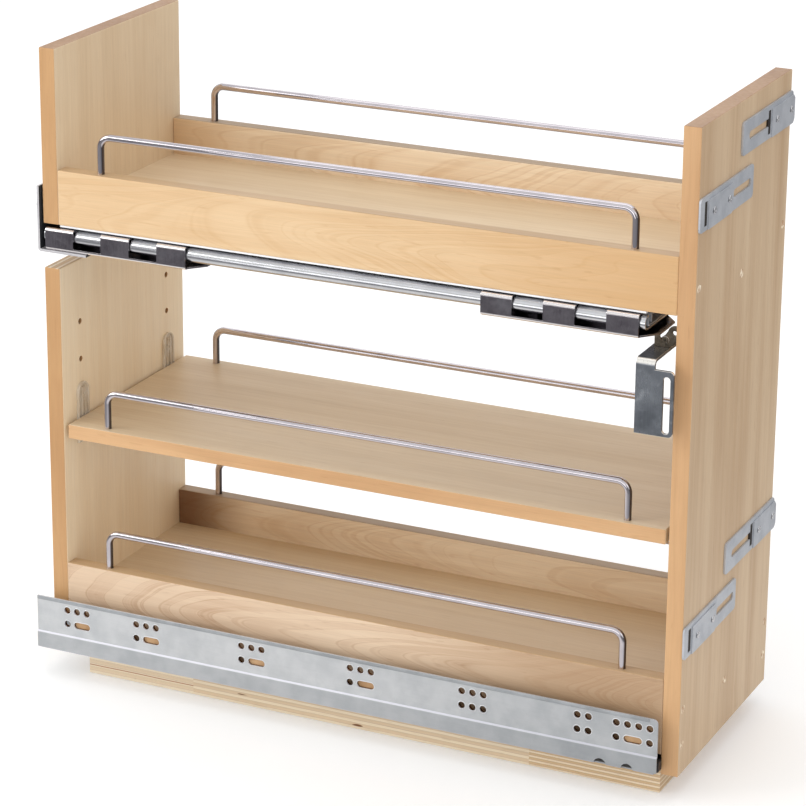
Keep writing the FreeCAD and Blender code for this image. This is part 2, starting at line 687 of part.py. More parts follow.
def packing(x):
    """Distance block between a bracket's plate and the underside of the outer rail."""
    gap_top = rail_axis_z - rail_edge_r
    long, wide = packing_size
    return box(x - long / 2, x + long / 2, rail_mid - wide / 2, rail_mid + wide / 2,
               bracket_bottom + rail_sheet, gap_top)


def race_rail(y_inset, x0, level, wall_end, bend=0.8):
    """A channel of the stabiliser: its web at one level and its walls running to wall_end."""
    half = race_wall / 2
    near_y, far_y = rail_y0 + y_inset + half, rail_y1 - y_inset - half
    line = [(near_y, wall_end), (near_y, level), (far_y, level), (far_y, wall_end)]
    return bent_sheet(line, race_wall, bend, yz(x0), (rail_x1 - x0, 0, 0))


def mid_rail():
    inside = rail_edge_r - rail_sheet - 0.6
    return race_rail(mid_rail_inset, rail_x0, rail_axis_z - inside + race_wall / 2, rail_axis_z + inside)


def inner_rail():
    rail = race_rail(inner_rail_inset, panel_t + 1, inner_top - race_wall / 2, rail_axis_z - inner_drop)
    return rail.cut(inner_screws(clearance))


def inner_screws(play):
    seats = [(x, rail_mid, inner_top - race_wall) for x in pad_x]
    return upright_screws(seats, 1, inner_screw, play)


def tray_plate():
    """Flat plate under the top tray, with a pad for each screw of the inner rail."""
    long, wide = pad_half
    plate = box(panel_t + 1, rail_x1, *tray_plate_y, tray_plate_z, top_rail_z)
    pads = [box(x - long, x + long, rail_mid - wide, rail_mid + wide, inner_top, tray_plate_z) for x in pad_x]
    return plate.fuse(pads).removeSplitter().cut(inner_screws(clearance))


def mirrored_in_rail(shape):
    return shape.mirror(V(0, rail_mid, 0), V(0, 1, 0))


def ball_strip(y, z0, z1, ball_z, ball_r):
    """One retainer strip with its row of balls."""
    half_t = ball_strip_t / 2
    strip = box(cage_x0, cage_x0 + cage_length, y - half_t, y + half_t, z0, z1)
    first_x = cage_x0 + ball_pitch / 2
    count = int(cage_length // ball_pitch)
    balls = [Part.makeSphere(ball_r, V(first_x + ball_pitch * index, y, ball_z)) for index in range(count)]
    return strip.fuse(balls)


def zigzag_teeth(y):
    """Triangular teeth along the top of the inner retainer."""
    side_y = y - ball_strip_t / 2
    z0, z1 = tooth_z
    made = []
    for index in range(int(cage_length // tooth_pitch)):
        x = cage_x0 + index * tooth_pitch
        corners = [V(x, side_y, z0), V(x + tooth_pitch, side_y, z0), V(x + tooth_pitch / 2, side_y, z1)]
        made.append(Part.Face(Part.makePolygon(corners + corners[:1])).extrude(V(0, ball_strip_t, 0)))
    return made


def front_bracket():
    """Slotted plate beside the cart, folded over into a strap that runs in under the rail's end."""
    half_t = front_plate_t / 2
    x0, x1 = front_plate_x
    plate_y, strap_mid = -slide_y + half_t, strap_z + half_t
    line = [(plate_y, front_plate_z), (plate_y, strap_mid), (strap_y1, strap_mid)]
    full = bent_sheet(line, front_plate_t, 4.0, yz(x0), (x1 - x0, 0, 0))
    beside_strap = box(strap_x1, x1 + 1, -slide_y - 1, strap_y1 + 1, shoulder_z, strap_z + 10)
    slot_x, slot_z, slot_run, slot_r = front_slot
    slot = slot_cutter((slot_x, -slide_y - 1, slot_z), (0, 1, 0), (0, 0, 1), slot_run, slot_r, 6)
    plate = full.cut([beside_strap, slot] + strap_rivet_holes)
    corners = [edge for edge in plate.Edges if abs(edge.tangentAt(edge.FirstParameter).y) > 0.9
               and edge.CenterOfMass.x > x1 - 0.1 and edge.Length < front_plate_t + 0.1]
    return plate.makeFillet(front_plate_corner, corners)


def front_hanger():
    """Forked upright on the strap: one arm bears on the bracket's tongue, the other is a round-ended lever."""
    foot_z = strap_z + front_plate_t
    ear_z = bracket_bottom
    foot_x0, foot_x1, foot_w = hanger_foot
    ear_x1, flange_w = hanger_ear
    eye_x, eye_z, eye_r, eye_hole_r = hanger_eye
    pivot_x, pivot_z, pivot_r, pivot_h = hanger_pivot
    foot = box(foot_x0, foot_x1, hanger_y, hanger_y + foot_w, foot_z, foot_z + hanger_t)
    points = [(foot_x0, foot_z), (foot_x1, foot_z), *hanger_lever, *hanger_crotch,
              (ear_x1, ear_z), (foot_x0, ear_z)]
    outline = [V(x, hanger_y, z) for x, z in points]
    fork = Part.Face(Part.makePolygon(outline + outline[:1])).extrude(V(0, hanger_t, 0))
    eye = rod((eye_x, hanger_y, eye_z), (0, 1, 0), eye_r, hanger_t)
    pivot = rod((pivot_x, hanger_y - pivot_h, pivot_z), (0, 1, 0), pivot_r, pivot_h)
    flange = box(foot_x0, ear_x1, hanger_y, hanger_y + flange_w, ear_z - hanger_t, ear_z)
    body = foot.fuse([fork, eye, pivot, flange]).removeSplitter()
    eye_hole = rod((eye_x, hanger_y - 1, eye_z), (0, 1, 0), eye_hole_r, hanger_t + 2)
    return body.cut([eye_hole] + strap_rivet_holes)


def rivet_hole(x, y, z, grip):
    return rod((x, y, z - 1), (0, 0, 1), rivet_r + clearance, grip + 2)


def rivet(x, y, z, grip):
    """A shank with a low round head under the stack; the upper end is set flush."""
    head_r, head_h = rivet_head
    head = Part.makeCylinder(head_r, head_h, V(x, y, z - head_h))
    low = [edge for edge in head.Edges if edge.CenterOfMass.z < z - head_h / 2
           and edge.Curve.TypeId == "Part::GeomCircle"]
    head = head.makeFillet(head_h * 2 / 3, low)
    return head.fuse(rod((x, y, z), (0, 0, 1), rivet_r, grip)).removeSplitter()


bracket_grip = rail_axis_z - rail_edge_r + rail_sheet - bracket_bottom
bracket_rivets = [(start + shift, rail_mid, bracket_bottom, bracket_grip)
                  for start in (bracket_rear_x, bracket_front_x) for shift in packing_x]
# The rearmost one also holds the rear plate's foot.
bracket_rivets[0] = (bracket_rear_x + packing_x[0], rail_mid, bracket_bottom - rear_plate_t,
                     bracket_grip + rear_plate_t)
strap_rivets = [(*strap_rivet, strap_z, front_plate_t + hanger_t)]
bracket_rivet_holes = [rivet_hole(*place) for place in bracket_rivets]
strap_rivet_holes = [rivet_hole(*place) for place in strap_rivets]


def rear_plate():
    """Upright plate behind the upper rear panel, with a foot under the rear bracket."""
    half_t = rear_plate_t / 2
    upright_x, foot_z = rear_plate_x + half_t, bracket_bottom - half_t
    line = [(upright_x, rear_plate_top), (upright_x, foot_z), (rear_foot_x, foot_z)]
    plate = bent_sheet(line, rear_plate_t, 2.0, xz(rail_y0 - 1.5), (0, rail_width + 3, 0))
    holes = [rod((rear_plate_x - 2, y, rear_hole_z), (1, 0, 0), rear_hole_r, 6) for y in rear_hole_y]
    bolt_hole = rod((rear_plate_x - 2, rear_bolt_y, rear_bolt_z), (1, 0, 0), rear_bolt[2] + clearance, 6)
    return plate.cut(holes + [bolt_hole, bracket_rivet_holes[0]])


def make_stabilizer():
    for name, x0 in (("rear", bracket_rear_x), ("front", bracket_front_x)):
        blocks = [packing(x0 + shift) for shift in packing_x]
        bracket = finger_bracket(x0).fuse(blocks).removeSplitter()
        save("stabilizer_bracket_" + name, bracket.cut(bracket_rivet_holes))
    save("stabilizer_outer_rail", outer_rail().cut(bracket_rivet_holes))
    save("stabilizer_mid_rail", mid_rail())
    save("stabilizer_inner_rail", inner_rail())
    save("stabilizer_tray_plate", tray_plate())

    inset, ball_r, half = outer_race
    outer_strip = ball_strip(rail_y0 + inset, rail_axis_z - half, rail_axis_z + half, rail_axis_z, ball_r)
    save("stabilizer_cage_outer", outer_strip, mirrored_in_rail(outer_strip))
    inset, ball_r, rise = inner_race
    inner_y = rail_y0 + inset
    inner_strip = ball_strip(inner_y, rail_axis_z - inner_drop, tooth_z[0], rail_axis_z + rise, ball_r)
    inner_strip = inner_strip.fuse(zigzag_teeth(inner_y)).removeSplitter()
    save("stabilizer_cage_inner", inner_strip, mirrored_in_rail(inner_strip))

    save("stabilizer_front_bracket", front_bracket())
    save("stabilizer_front_hanger", front_hanger())
    save("stabilizer_rear_plate", rear_plate())
    save("stabilizer_rivets", *[rivet(*place) for place in bracket_rivets + strap_rivets])
    save("stabilizer_inner_screws", *inner_screws(0))
    head_r, head_h, shank_r, length = rear_bolt
    bolt = pan_head((rear_plate_x, rear_bolt_y, rear_bolt_z), (1, 0, 0), head_r, head_h, shank_r, length)
    save("stabilizer_rear_bolt", bolt)


make_panels()
make_tray("top", top_rail_z, top_rail_z + top_rail_h, top_floor_z, inner_screws(clearance))
make_tray("bottom", bottom_rail_z, bottom_rail_top, bottom_floor_z, tray_screws(clearance))
make_shelf()
make_clips()
make_door_brackets()
make_base()
make_slides()
make_stabilizer()
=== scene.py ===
import json
import math

import bmesh
import bpy
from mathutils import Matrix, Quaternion, Vector

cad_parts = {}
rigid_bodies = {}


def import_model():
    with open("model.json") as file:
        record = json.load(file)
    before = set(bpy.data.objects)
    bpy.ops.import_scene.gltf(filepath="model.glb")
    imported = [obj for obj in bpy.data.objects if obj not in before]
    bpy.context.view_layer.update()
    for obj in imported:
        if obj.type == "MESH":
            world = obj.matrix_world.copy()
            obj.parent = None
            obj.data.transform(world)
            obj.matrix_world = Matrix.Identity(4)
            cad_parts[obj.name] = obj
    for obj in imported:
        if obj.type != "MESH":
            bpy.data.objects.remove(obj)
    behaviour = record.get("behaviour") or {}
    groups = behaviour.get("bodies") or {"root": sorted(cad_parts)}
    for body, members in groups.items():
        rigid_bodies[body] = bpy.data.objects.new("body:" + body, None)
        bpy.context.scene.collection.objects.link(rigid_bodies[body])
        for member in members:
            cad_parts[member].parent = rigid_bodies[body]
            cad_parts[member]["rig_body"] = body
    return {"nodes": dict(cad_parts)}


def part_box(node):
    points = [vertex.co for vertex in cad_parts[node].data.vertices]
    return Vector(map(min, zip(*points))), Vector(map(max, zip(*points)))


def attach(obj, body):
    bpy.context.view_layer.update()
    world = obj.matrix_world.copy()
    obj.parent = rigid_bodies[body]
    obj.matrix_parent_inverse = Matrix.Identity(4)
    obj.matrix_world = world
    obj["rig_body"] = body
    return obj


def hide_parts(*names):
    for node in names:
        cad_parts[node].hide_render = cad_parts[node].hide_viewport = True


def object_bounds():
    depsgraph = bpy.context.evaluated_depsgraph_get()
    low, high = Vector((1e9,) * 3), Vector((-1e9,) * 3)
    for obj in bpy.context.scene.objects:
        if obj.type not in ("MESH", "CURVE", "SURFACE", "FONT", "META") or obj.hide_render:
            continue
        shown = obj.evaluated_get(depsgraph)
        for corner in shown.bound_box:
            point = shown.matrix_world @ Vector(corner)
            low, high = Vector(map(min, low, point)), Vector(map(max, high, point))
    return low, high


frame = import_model()
cad_low, cad_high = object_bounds()
nodes = frame["nodes"]
scene = bpy.context.scene
MM = 0.001
WEB_STEP = 1.0 * MM


def srgb(red, green, blue):
    """A display colour, 0 to 255, as linear light."""
    linear = [((c / 255 + 0.055) / 1.055) ** 2.4 if c > 10 else c / 3294.6 for c in (red, green, blue)]
    return tuple(linear) + (1.0,)


# ---- materials ---------------------------------------------------------------------------------
class Recipe:
    """A node material, with short calls for the nodes that the recipes below share."""

    def __init__(self, name, **values):
        self.data = bpy.data.materials.new(name)
        self.data.use_nodes = True
        self.tree = self.data.node_tree
        self.shader = self.tree.nodes["Principled BSDF"]
        coords = self.tree.nodes.new("ShaderNodeTexCoord")
        self.place = coords.outputs["Object"]
        self.facing = coords.outputs["Normal"]
        for socket, value in values.items():
            self.feed(self.shader.inputs[socket.replace("_", " ")], value)

    def feed(self, socket, value):
        if isinstance(value, bpy.types.NodeSocket):
            self.tree.links.new(value, socket)
        else:
            socket.default_value = value

    def add(self, kind, options=None, **inputs):
        made = self.tree.nodes.new("ShaderNode" + kind)
        for key, value in (options or {}).items():
            setattr(made, key, value)
        for key, value in inputs.items():
            self.feed(made.inputs[key.replace("_", " ")], value)
        return made

    def math(self, operation, *values):
        made = self.add("Math", {"operation": operation})
        for socket, value in zip(made.inputs, values):
            self.feed(socket, value)
        return made.outputs[0]

    def mix(self, factor, first, second, how="MIX"):
        made = self.add("Mix", {"data_type": "RGBA", "blend_type": how})
        for index, value in zip((0, 6, 7), (factor, first, second)):
            self.feed(made.inputs[index], value)
        return made.outputs[2]

    def moved(self, place, shift=(0, 0, 0), scale=(1, 1, 1), turn=(0, 0, 0)):
        return self.add("Mapping", Vector=place, Location=shift, Scale=scale, Rotation=turn).outputs[0]

    def noise(self, place, scale, detail=2.0, distortion=0.0, colour=False):
        made = self.add("TexNoise", Vector=place, Scale=scale, Detail=detail, Distortion=distortion)
        return made.outputs["Color" if colour else "Fac"]

    def between(self, value, low, high, to_low=0.0, to_high=1.0):
        made = self.add("MapRange", {"interpolation_type": "SMOOTHSTEP"}, Value=value, From_Min=low,
                        From_Max=high, To_Min=to_low, To_Max=to_high)
        return made.outputs[0]

    def axis(self, vector, index):
        return self.add("SeparateXYZ", Vector=vector).outputs[index]

    def faces(self, index):
        """1 where the surface faces along that axis, either way."""
        return self.math("GREATER_THAN", self.math("ABSOLUTE", self.axis(self.facing, index)), 0.7)

    def colour(self, value):
        self.feed(self.shader.inputs["Base Color"], value)

    def rough(self, value, low, high):
        self.feed(self.shader.inputs["Roughness"], self.between(value, 0.25, 0.75, low, high))

    def bump(self, height, depth):
        """Relief of that depth in metres."""
        made = self.add("Bump", Height=height, Distance=depth, Strength=1.0)
        self.feed(self.shader.inputs["Normal"], made.outputs[0])


def stretched(grain, along):
    return tuple(along if axis == grain else 1.0 for axis in range(3))


def growth_lines(m, place, grain, heart, tilt, spacing, drift):
    """Thin darker growth lines round a heart line that leans a little from the grain."""
    wander = m.noise(m.moved(place, scale=stretched(grain, 0.16)), 14.0, 2.0)
    leaning = m.moved(place, shift=heart, turn=tilt)
    radial = m.moved(leaning, scale=stretched(grain, 0.0))
    radius = m.add("VectorMath", {"operation": "LENGTH"}, Vector=radial).outputs["Value"]
    radius = m.math("MULTIPLY_ADD", wander, drift, radius)
    rings = m.math("DIVIDE", radius, spacing)
    season = m.add("TexNoise", {"noise_dimensions": "1D"}, W=rings, Scale=1.0, Detail=2.5)
    broken = m.between(m.noise(m.moved(place, scale=stretched(grain, 0.3)), 30.0, 2.0), 0.3, 0.7, 0.35, 1.0)
    season = season.outputs["Fac"]
    away = m.math("ABSOLUTE", m.math("SUBTRACT", season, 0.52))
    fine = m.between(away, 0.0, 0.05, 0.65, 0.0)
    wide = m.math("MULTIPLY_ADD", m.between(season, 0.5, 0.64), 0.35, fine)
    return m.math("MULTIPLY", wide, broken)


def plywood_layers(m, stack, pitch, contrast, streak_at):
    """Bare plywood edge: cream and tan layers with thin brown glue lines, stacked along one axis.
    streak_at is the level of one dark heartwood layer, or None."""
    ripple = m.noise(m.place, 24.0, 2.0)
    height = m.math("MULTIPLY_ADD", ripple, 0.0008, m.axis(m.place, stack))
    layer = m.math("FRACT", m.math("DIVIDE", height, pitch))
    ramp = m.add("ValToRGB", Fac=layer)
    stops = ((0.0, (148, 102, 62)), (0.07, (238, 220, 192)), (0.43, (232, 212, 182)),
             (0.50, (160, 112, 70)), (0.57, (212, 180, 138)), (0.94, (204, 170, 126)))
    bar = ramp.color_ramp
    while len(bar.elements) < len(stops):
        bar.elements.new(0.5)
    for element, (at, shade) in zip(bar.elements, stops):
        element.position = at
        element.color = srgb(*shade)
    streaks = m.between(m.noise(m.moved(m.place, scale=(0.08, 0.08, 1.0)), 520.0, 2.0), 0.5, 0.75, 0.0, 0.35)
    layers = m.mix(streaks, ramp.outputs["Color"], srgb(204, 170, 130))
    layers = m.mix(contrast, srgb(240, 225, 200), layers)
    if streak_at is not None:
        away = m.math("ABSOLUTE", m.math("SUBTRACT", height, streak_at))
        layers = m.mix(m.between(away, 0.0002, 0.0007, 0.85, 0.0), layers, srgb(168, 104, 58))
    pits = m.between(m.noise(m.moved(m.place, scale=(0.5, 0.5, 2.4)), 70.0, 1.0), 0.75, 0.78)
    return m.mix(pits, layers, srgb(120, 78, 46))


def wood(name, grain, tones, seed, heart, tilt=(0.0, 0.0, 0.0), spacing=0.02, drift=0.05, lines=0.35,
         stripes=0.4, knots=0.0, band=None, cap=None, plies=None, ply_look=(0.0072, 0.9, None), end=None):
    """Clear-coated wood with its grain along one axis. tones is a light and a dark colour, lines is how
    strongly the growth lines show and stripes how strongly the straight bands of colour show. band and
    cap are the colour pairs of the near and far edges and of the top and bottom edges. plies is the axis
    that bare plywood layers are stacked along, and ply_look their pitch, contrast and dark level. end is
    painted shade: where a darker end begins and is full along the grain, its colour and its strength."""
    light, dark = tones
    m = Recipe(name, Coat_Weight=0.16, Coat_Roughness=0.3)
    m.feed(m.shader.inputs["Specular IOR Level"], 0.35)
    place = m.moved(m.place, shift=seed)
    growth = growth_lines(m, m.place, grain, heart, tilt, spacing, drift)
    stripe = m.noise(m.moved(place, scale=stretched(grain, 0.03)), 55.0, 3.0)
    streak = m.noise(m.moved(place, scale=stretched(grain, 0.025)), 260.0, 4.0)
    fibre = m.noise(m.moved(place, scale=stretched(grain, 0.03)), 1100.0, 3.0)
    blotch = m.noise(m.moved(place, scale=stretched(grain, 0.4)), 13.0, 3.0)
    fleck = m.between(m.noise(m.moved(place, scale=stretched(grain, 0.14)), 430.0, 1.0), 0.66, 0.78)

    tone = m.math("MULTIPLY", growth, lines)
    tone = m.math("MULTIPLY_ADD", m.between(stripe, 0.3, 0.7), stripes, tone)
    tone = m.math("MULTIPLY_ADD", m.between(streak, 0.25, 0.75), 0.3, tone)
    tone = m.math("MULTIPLY_ADD", m.between(blotch, 0.3, 0.7), 0.4, tone)
    tone = m.math("DIVIDE", tone, lines + stripes + 0.7)
    look = m.mix(tone, light, dark)
    # painted shade: the board darkens towards one end, where it lies in shade
    if end:
        begins, full, shade, strength = end
        along = m.math("MULTIPLY_ADD", blotch, 0.03, m.axis(m.place, grain))
        darker = m.between(along, begins, full, 0.0, strength)
        look = m.mix(darker, look, shade)
    if knots:
        cells = m.add("TexVoronoi", Vector=m.moved(place, scale=stretched(grain, 0.55)), Scale=14.0)
        knot = m.between(cells.outputs["Distance"], 0.03, 0.085, knots, 0.0)
        look = m.mix(knot, look, srgb(150, 96, 58))
    edge_tone = m.math("MULTIPLY_ADD", m.between(blotch, 0.3, 0.7), 0.5, m.math("MULTIPLY", growth, 0.3))
    edge_tone = m.math("MULTIPLY_ADD", streak, 0.3, edge_tone)
    if band:
        look = m.mix(m.faces(1), look, m.mix(edge_tone, *band))
    if cap:
        look = m.mix(m.faces(2), look, m.mix(edge_tone, *cap))
    if plies is not None:
        shown = m.faces(2) if plies == 0 else m.math("SUBTRACT", 1.0, m.faces(2))
        look = m.mix(shown, look, plywood_layers(m, plies, *ply_look))
    look = m.mix(m.math("MULTIPLY", fleck, 0.16), look, dark, "MULTIPLY")
    grit = m.between(fibre, 0.25, 0.75, 0.965, 1.035)
    tint = m.add("CombineColor", Red=grit, Green=grit, Blue=grit).outputs[0]
    m.colour(m.mix(1.0, look, tint, "MULTIPLY"))
    m.rough(streak, 0.4, 0.5)
    m.bump(m.math("MULTIPLY_ADD", fibre, 0.6, m.math("MULTIPLY", streak, 0.4)), 0.00003)
    return m.data


def steel(name, light, dark, rough, grain=2, metallic=1.0, spangle=0.0, scratches=0.5, bump=0.00001,
          blotches=0.0, painted_fold_highlight=None, painted_shade_along_x=None, front=None, below=None):
    """Sheet metal: cloudy tone, fine rolling lines across one axis, optional zinc spangle and pale blotches.
    The colour for folds along X is a painted highlight; the span along X is where a painted shade towards
    the front end begins and is full; front is the colour of the faces that look towards the cart's front, a
    painted shade and dark reflection; below is the level under which it is darker, a painted shade."""
    m = Recipe(name, Metallic=metallic)
    cloud = m.noise(m.place, 55.0, 4.0)
    lines = m.noise(m.moved(m.place, scale=stretched(grain, 0.04)), 1100.0, 3.0)
    tone = m.math("MULTIPLY_ADD", m.between(lines, 0.3, 0.7), scratches, m.between(cloud, 0.3, 0.7))
    tone = m.math("DIVIDE", tone, 1 + scratches)
    if spangle:
        cells = m.add("TexVoronoi", Vector=m.place, Scale=260.0).outputs["Color"]
        tone = m.mix(spangle, tone, m.axis(cells, 0))
    look = m.mix(tone, light, dark)
    if blotches:
        cloudy = m.noise(m.moved(m.place, shift=(0.3, 0.1, 0.2)), 75.0, 3.0)
        patch = m.between(cloudy, 0.56, 0.76, 0.0, blotches)
        look = m.mix(patch, look, srgb(226, 231, 236))
    # painted highlight: a paler colour where a fold turns between upward and sideways
    if painted_fold_highlight:
        steep = m.math("ABSOLUTE", m.axis(m.facing, 2))
        fold = m.math("MULTIPLY", m.between(steep, 0.12, 0.4), m.between(steep, 0.86, 0.98, 1.0, 0.0))
        look = m.mix(fold, look, painted_fold_highlight)
    # painted shade: darker towards the front end along X
    if painted_shade_along_x:
        look = m.mix(m.between(m.axis(m.place, 0), *painted_shade_along_x, 0.0, 0.42), look, dark, "MULTIPLY")
    # painted shade: darker below that level, on the lower band of the web
    if below:
        look = m.mix(m.between(m.axis(m.place, 2), below - 0.0006, below, 0.4, 0.0), look, dark, "MULTIPLY")
    # painted shade and dark reflection on the faces that look towards the cart's front
    if front:
        look = m.mix(m.between(m.axis(m.facing, 0), 0.5, 0.8), look, front)
    m.colour(look)
    m.rough(m.math("MULTIPLY_ADD", lines, 0.5, m.math("MULTIPLY", cloud, 0.5)), *rough)
    m.bump(lines, bump)
    return m.data


def plastic(name, light, dark, rough, clouds=90.0, **values):
    """Moulded plastic, or filler, with a fine grain."""
    m = Recipe(name, **values)
    m.colour(m.mix(m.between(m.noise(m.place, clouds, 3.0), 0.3, 0.7), light, dark))
    grain = m.noise(m.place, 1600.0, 2.0)
    m.rough(grain, *rough)
    m.bump(grain, 0.00003)
    return m.data


VENEER = (srgb(228, 207, 176), srgb(208, 181, 145))
WARM_VENEER = (srgb(213, 187, 154), srgb(184, 151, 115))
BAND = (srgb(218, 176, 130), srgb(188, 142, 97))
REAR_BAND = (srgb(203, 160, 112), srgb(175, 129, 84))
# paler than VENEER: painted light that lifts the rear lower panel, whose inner face lies in the lower bay's
# shade
LOWER_VENEER = (srgb(252, 234, 204), srgb(238, 213, 176))
CAP = (srgb(186, 148, 113), srgb(148, 108, 77))
MAPLE = (srgb(228, 198, 158), srgb(204, 162, 112))
PINK_MAPLE = (srgb(230, 206, 178), srgb(176, 132, 96))
# paler than MAPLE: painted light that lifts the far rails, which lie in the cart's shade
FAR_MAPLE = (srgb(252, 234, 206), srgb(212, 174, 130))
RAIL_CAP = (srgb(210, 178, 138), srgb(182, 148, 108))
FAR_CAP = (srgb(180, 154, 124), srgb(152, 126, 97))
PLY_FACE = (srgb(216, 201, 176), srgb(195, 174, 142))

wood_looks = {
    "front_panel": wood("wood_front_panel", 2, WARM_VENEER, (0.3, 1.2, 0.1), (0.02, 0.06, 0.0),
                        (0.02, 0.0, 0.0), 0.03, 0.05, 0.3, 0.8, 0.0, BAND, CAP),
    "rear_panel_upper": wood("wood_rear_upper", 2, VENEER, (1.7, 0.2, 0.9), (0.5, 0.12, 0.0),
                             (0.03, 0.0, 0.0), 0.02, 0.06, 0.3, 0.4, 0.0, REAR_BAND, CAP),
    "rear_panel_lower": wood("wood_rear_lower", 2, LOWER_VENEER, (2.1, 0.7, 0.3), (0.5, 0.3, 0.0),
                             (0.03, 0.0, 0.0), 0.02, 0.06, 0.3, 0.5, 0.0, REAR_BAND, None, 0,
                             (0.0064, 1.0, None)),
    # end on the four rails below is painted shade at one end of each rail
    "top_tray_rail_near": wood("wood_top_near", 0, MAPLE, (0.0, 0.02, -0.36), (0.0, 0.055, -0.405),
                               (0.0, 0.0, 0.05), 0.0030, 0.03, 1.0, 0.3, cap=RAIL_CAP,
                               end=(0.05, 0.3, srgb(202, 154, 98), 0.6)),
    "top_tray_rail_far": wood("wood_top_far", 0, FAR_MAPLE, (1.0, -0.16, -0.38), (0.0, -0.14, -0.41),
                              (0.0, 0.0, 0.06), 0.003, 0.02, 0.9, 0.2, cap=FAR_CAP,
                              end=(-0.16, -0.27, srgb(196, 152, 96), 0.7)),
    "bottom_tray_rail_near": wood("wood_bottom_near", 0, PINK_MAPLE, (0.7, 0.05, -0.03), (0.0, 0.05, -0.075),
                                  (0.0, 0.0, 0.09), 0.0026, 0.035, 1.6, 0.2, 0.6, cap=RAIL_CAP,
                                  end=(0.0, 0.24, srgb(170, 135, 100), 0.75)),
    "bottom_tray_rail_far": wood("wood_bottom_far", 0, FAR_MAPLE, (2.2, -0.13, -0.1), (0.0, -0.13, -0.08),
                                 (0.0, 0.0, 0.07), 0.003, 0.02, 0.9, 0.2, cap=FAR_CAP,
                                 end=(-0.16, -0.23, srgb(112, 70, 36), 0.9)),
    "top_tray_floor": wood("wood_top_floor", 0, VENEER, (0.5, 0.3, 0.0), (0.0, 0.1, -0.1), (0.0, 0.03, 0.0),
                           0.02, 0.06, 0.3, 0.3),
    "bottom_tray_floor": wood("wood_bottom_floor", 0, VENEER, (1.5, 1.3, 0.4), (0.0, 0.3, 0.3),
                              (0.0, 0.03, 0.0), 0.02, 0.06, 0.3, 0.3),
    "middle_shelf": wood("wood_shelf", 0, VENEER, (2.5, 0.9, 0.2), (0.0, 0.2, 0.1), (0.0, 0.03, 0.0), 0.02,
                         0.06, 0.3, 0.3, 0.0, BAND),
    "base_board_rear": wood("ply_board_rear", 1, PLY_FACE, (0.4, 0.1, 0.0), (0.2, 0.0, 0.2), plies=2,
                            ply_look=(0.0062, 0.45, 0.0078)),
    "base_board_front": wood("ply_board_front", 1, PLY_FACE, (1.4, 0.6, 0.0), (0.1, 0.0, 0.3), plies=2,
                             ply_look=(0.0038, 0.9, None)),
    "base_strip_near": wood("ply_strip_near", 0, PLY_FACE, (2.4, 0.3, 0.0), (0.0, 0.2, 0.3), plies=2,
                            ply_look=(0.0054, 0.6, None)),
    "base_strip_far": wood("ply_strip_far", 0, PLY_FACE, (3.4, 0.9, 0.0), (0.0, 0.2, 0.2), plies=2,
                           ply_look=(0.0054, 0.6, None)),
}

# on the slide steel the fold colour is a painted highlight, and the span along X and the level below are
# painted shade
galvanised = steel("galvanised_steel", srgb(206, 208, 210), srgb(188, 191, 194), (0.46, 0.58), 0, 0.35, 0.12,
                   0.12, painted_fold_highlight=srgb(222, 222, 230), painted_shade_along_x=(-0.05, 0.25), below=0.038)
# darker than the slide's web: painted shade on the sloping folded top edge
folded = steel("folded_edge", srgb(176, 180, 184), srgb(150, 154, 158), (0.4, 0.5), 0, 0.5, 0.1, 0.3)
bracket_zinc = steel("zinc_bracket", srgb(206, 209, 215), srgb(182, 186, 193), (0.38, 0.5), 0, 0.42, 0.1,
                     0.25)
# the fold colour here is a painted highlight on the bracket's bend
dull_zinc = steel("dull_zinc", srgb(156, 161, 168), srgb(104, 109, 116), (0.24, 0.36), 2, 0.85, 0.15, 0.15,
                  blotches=0.5, painted_fold_highlight=srgb(248, 246, 240))
# the fold colour here is a painted highlight on the clamp lips
plated = steel("plated_clamp", srgb(166, 161, 167), srgb(102, 97, 104), (0.14, 0.3), 2, 1.0, 0.25, 0.5,
               0.00003, 0.12, painted_fold_highlight=srgb(252, 248, 248))
lever_steel = steel("lever_steel", srgb(152, 138, 120), srgb(66, 56, 46), (0.2, 0.36), 2, 1.0, 0.35, 0.4,
                    0.00003, 0.15)
bright = steel("bright_rail", srgb(230, 231, 234), srgb(212, 213, 217), (0.12, 0.2), 0, 1.0, 0.0, 0.4)
# front here is painted shade on the rear plate's faces towards the cart's front
plain_zinc = steel("plain_zinc", srgb(222, 220, 222), srgb(204, 202, 206), (0.3, 0.42), 0, 0.4, 0.0, 0.3,
                   front=srgb(74, 76, 80))
white_zinc = steel("white_zinc", srgb(252, 252, 254), srgb(238, 238, 242), (0.3, 0.4), 0, 0.1, 0.0, 0.2)
# front here is a painted dark reflection on the wire faces towards the cart's front
chrome = steel("chrome_wire", srgb(226, 220, 225), srgb(210, 204, 210), (0.03, 0.05), 0, 1.0, 0.0, 0.2,
               0.000001, front=srgb(98, 94, 98))
dark_steel = steel("dark_steel", srgb(92, 88, 86), srgb(52, 50, 52), (0.3, 0.45), 0, 0.9, 0.0, 0.5)
# painted shade: the dark sheet in each door bracket's slit
shadow_steel = steel("slit_painted_shade", srgb(58, 48, 42), srgb(38, 31, 27), (0.5, 0.6), 0, 0.2, 0.0, 0.5)
# paler than the slide steel: painted highlight on the raised hole rims
pale_rim = steel("hole_rim", srgb(222, 224, 226), srgb(208, 210, 214), (0.3, 0.4), 1, 0.3, 0.0, 0.2)
# dark bronze on the collars' steel: painted shade and painted reflection of the wood inside the holes
collar_shade_and_reflection = steel("hole_collar_painted_shade", srgb(132, 92, 60), srgb(58, 38, 26), (0.2, 0.34), 1, 0.8, 0.0, 0.5)
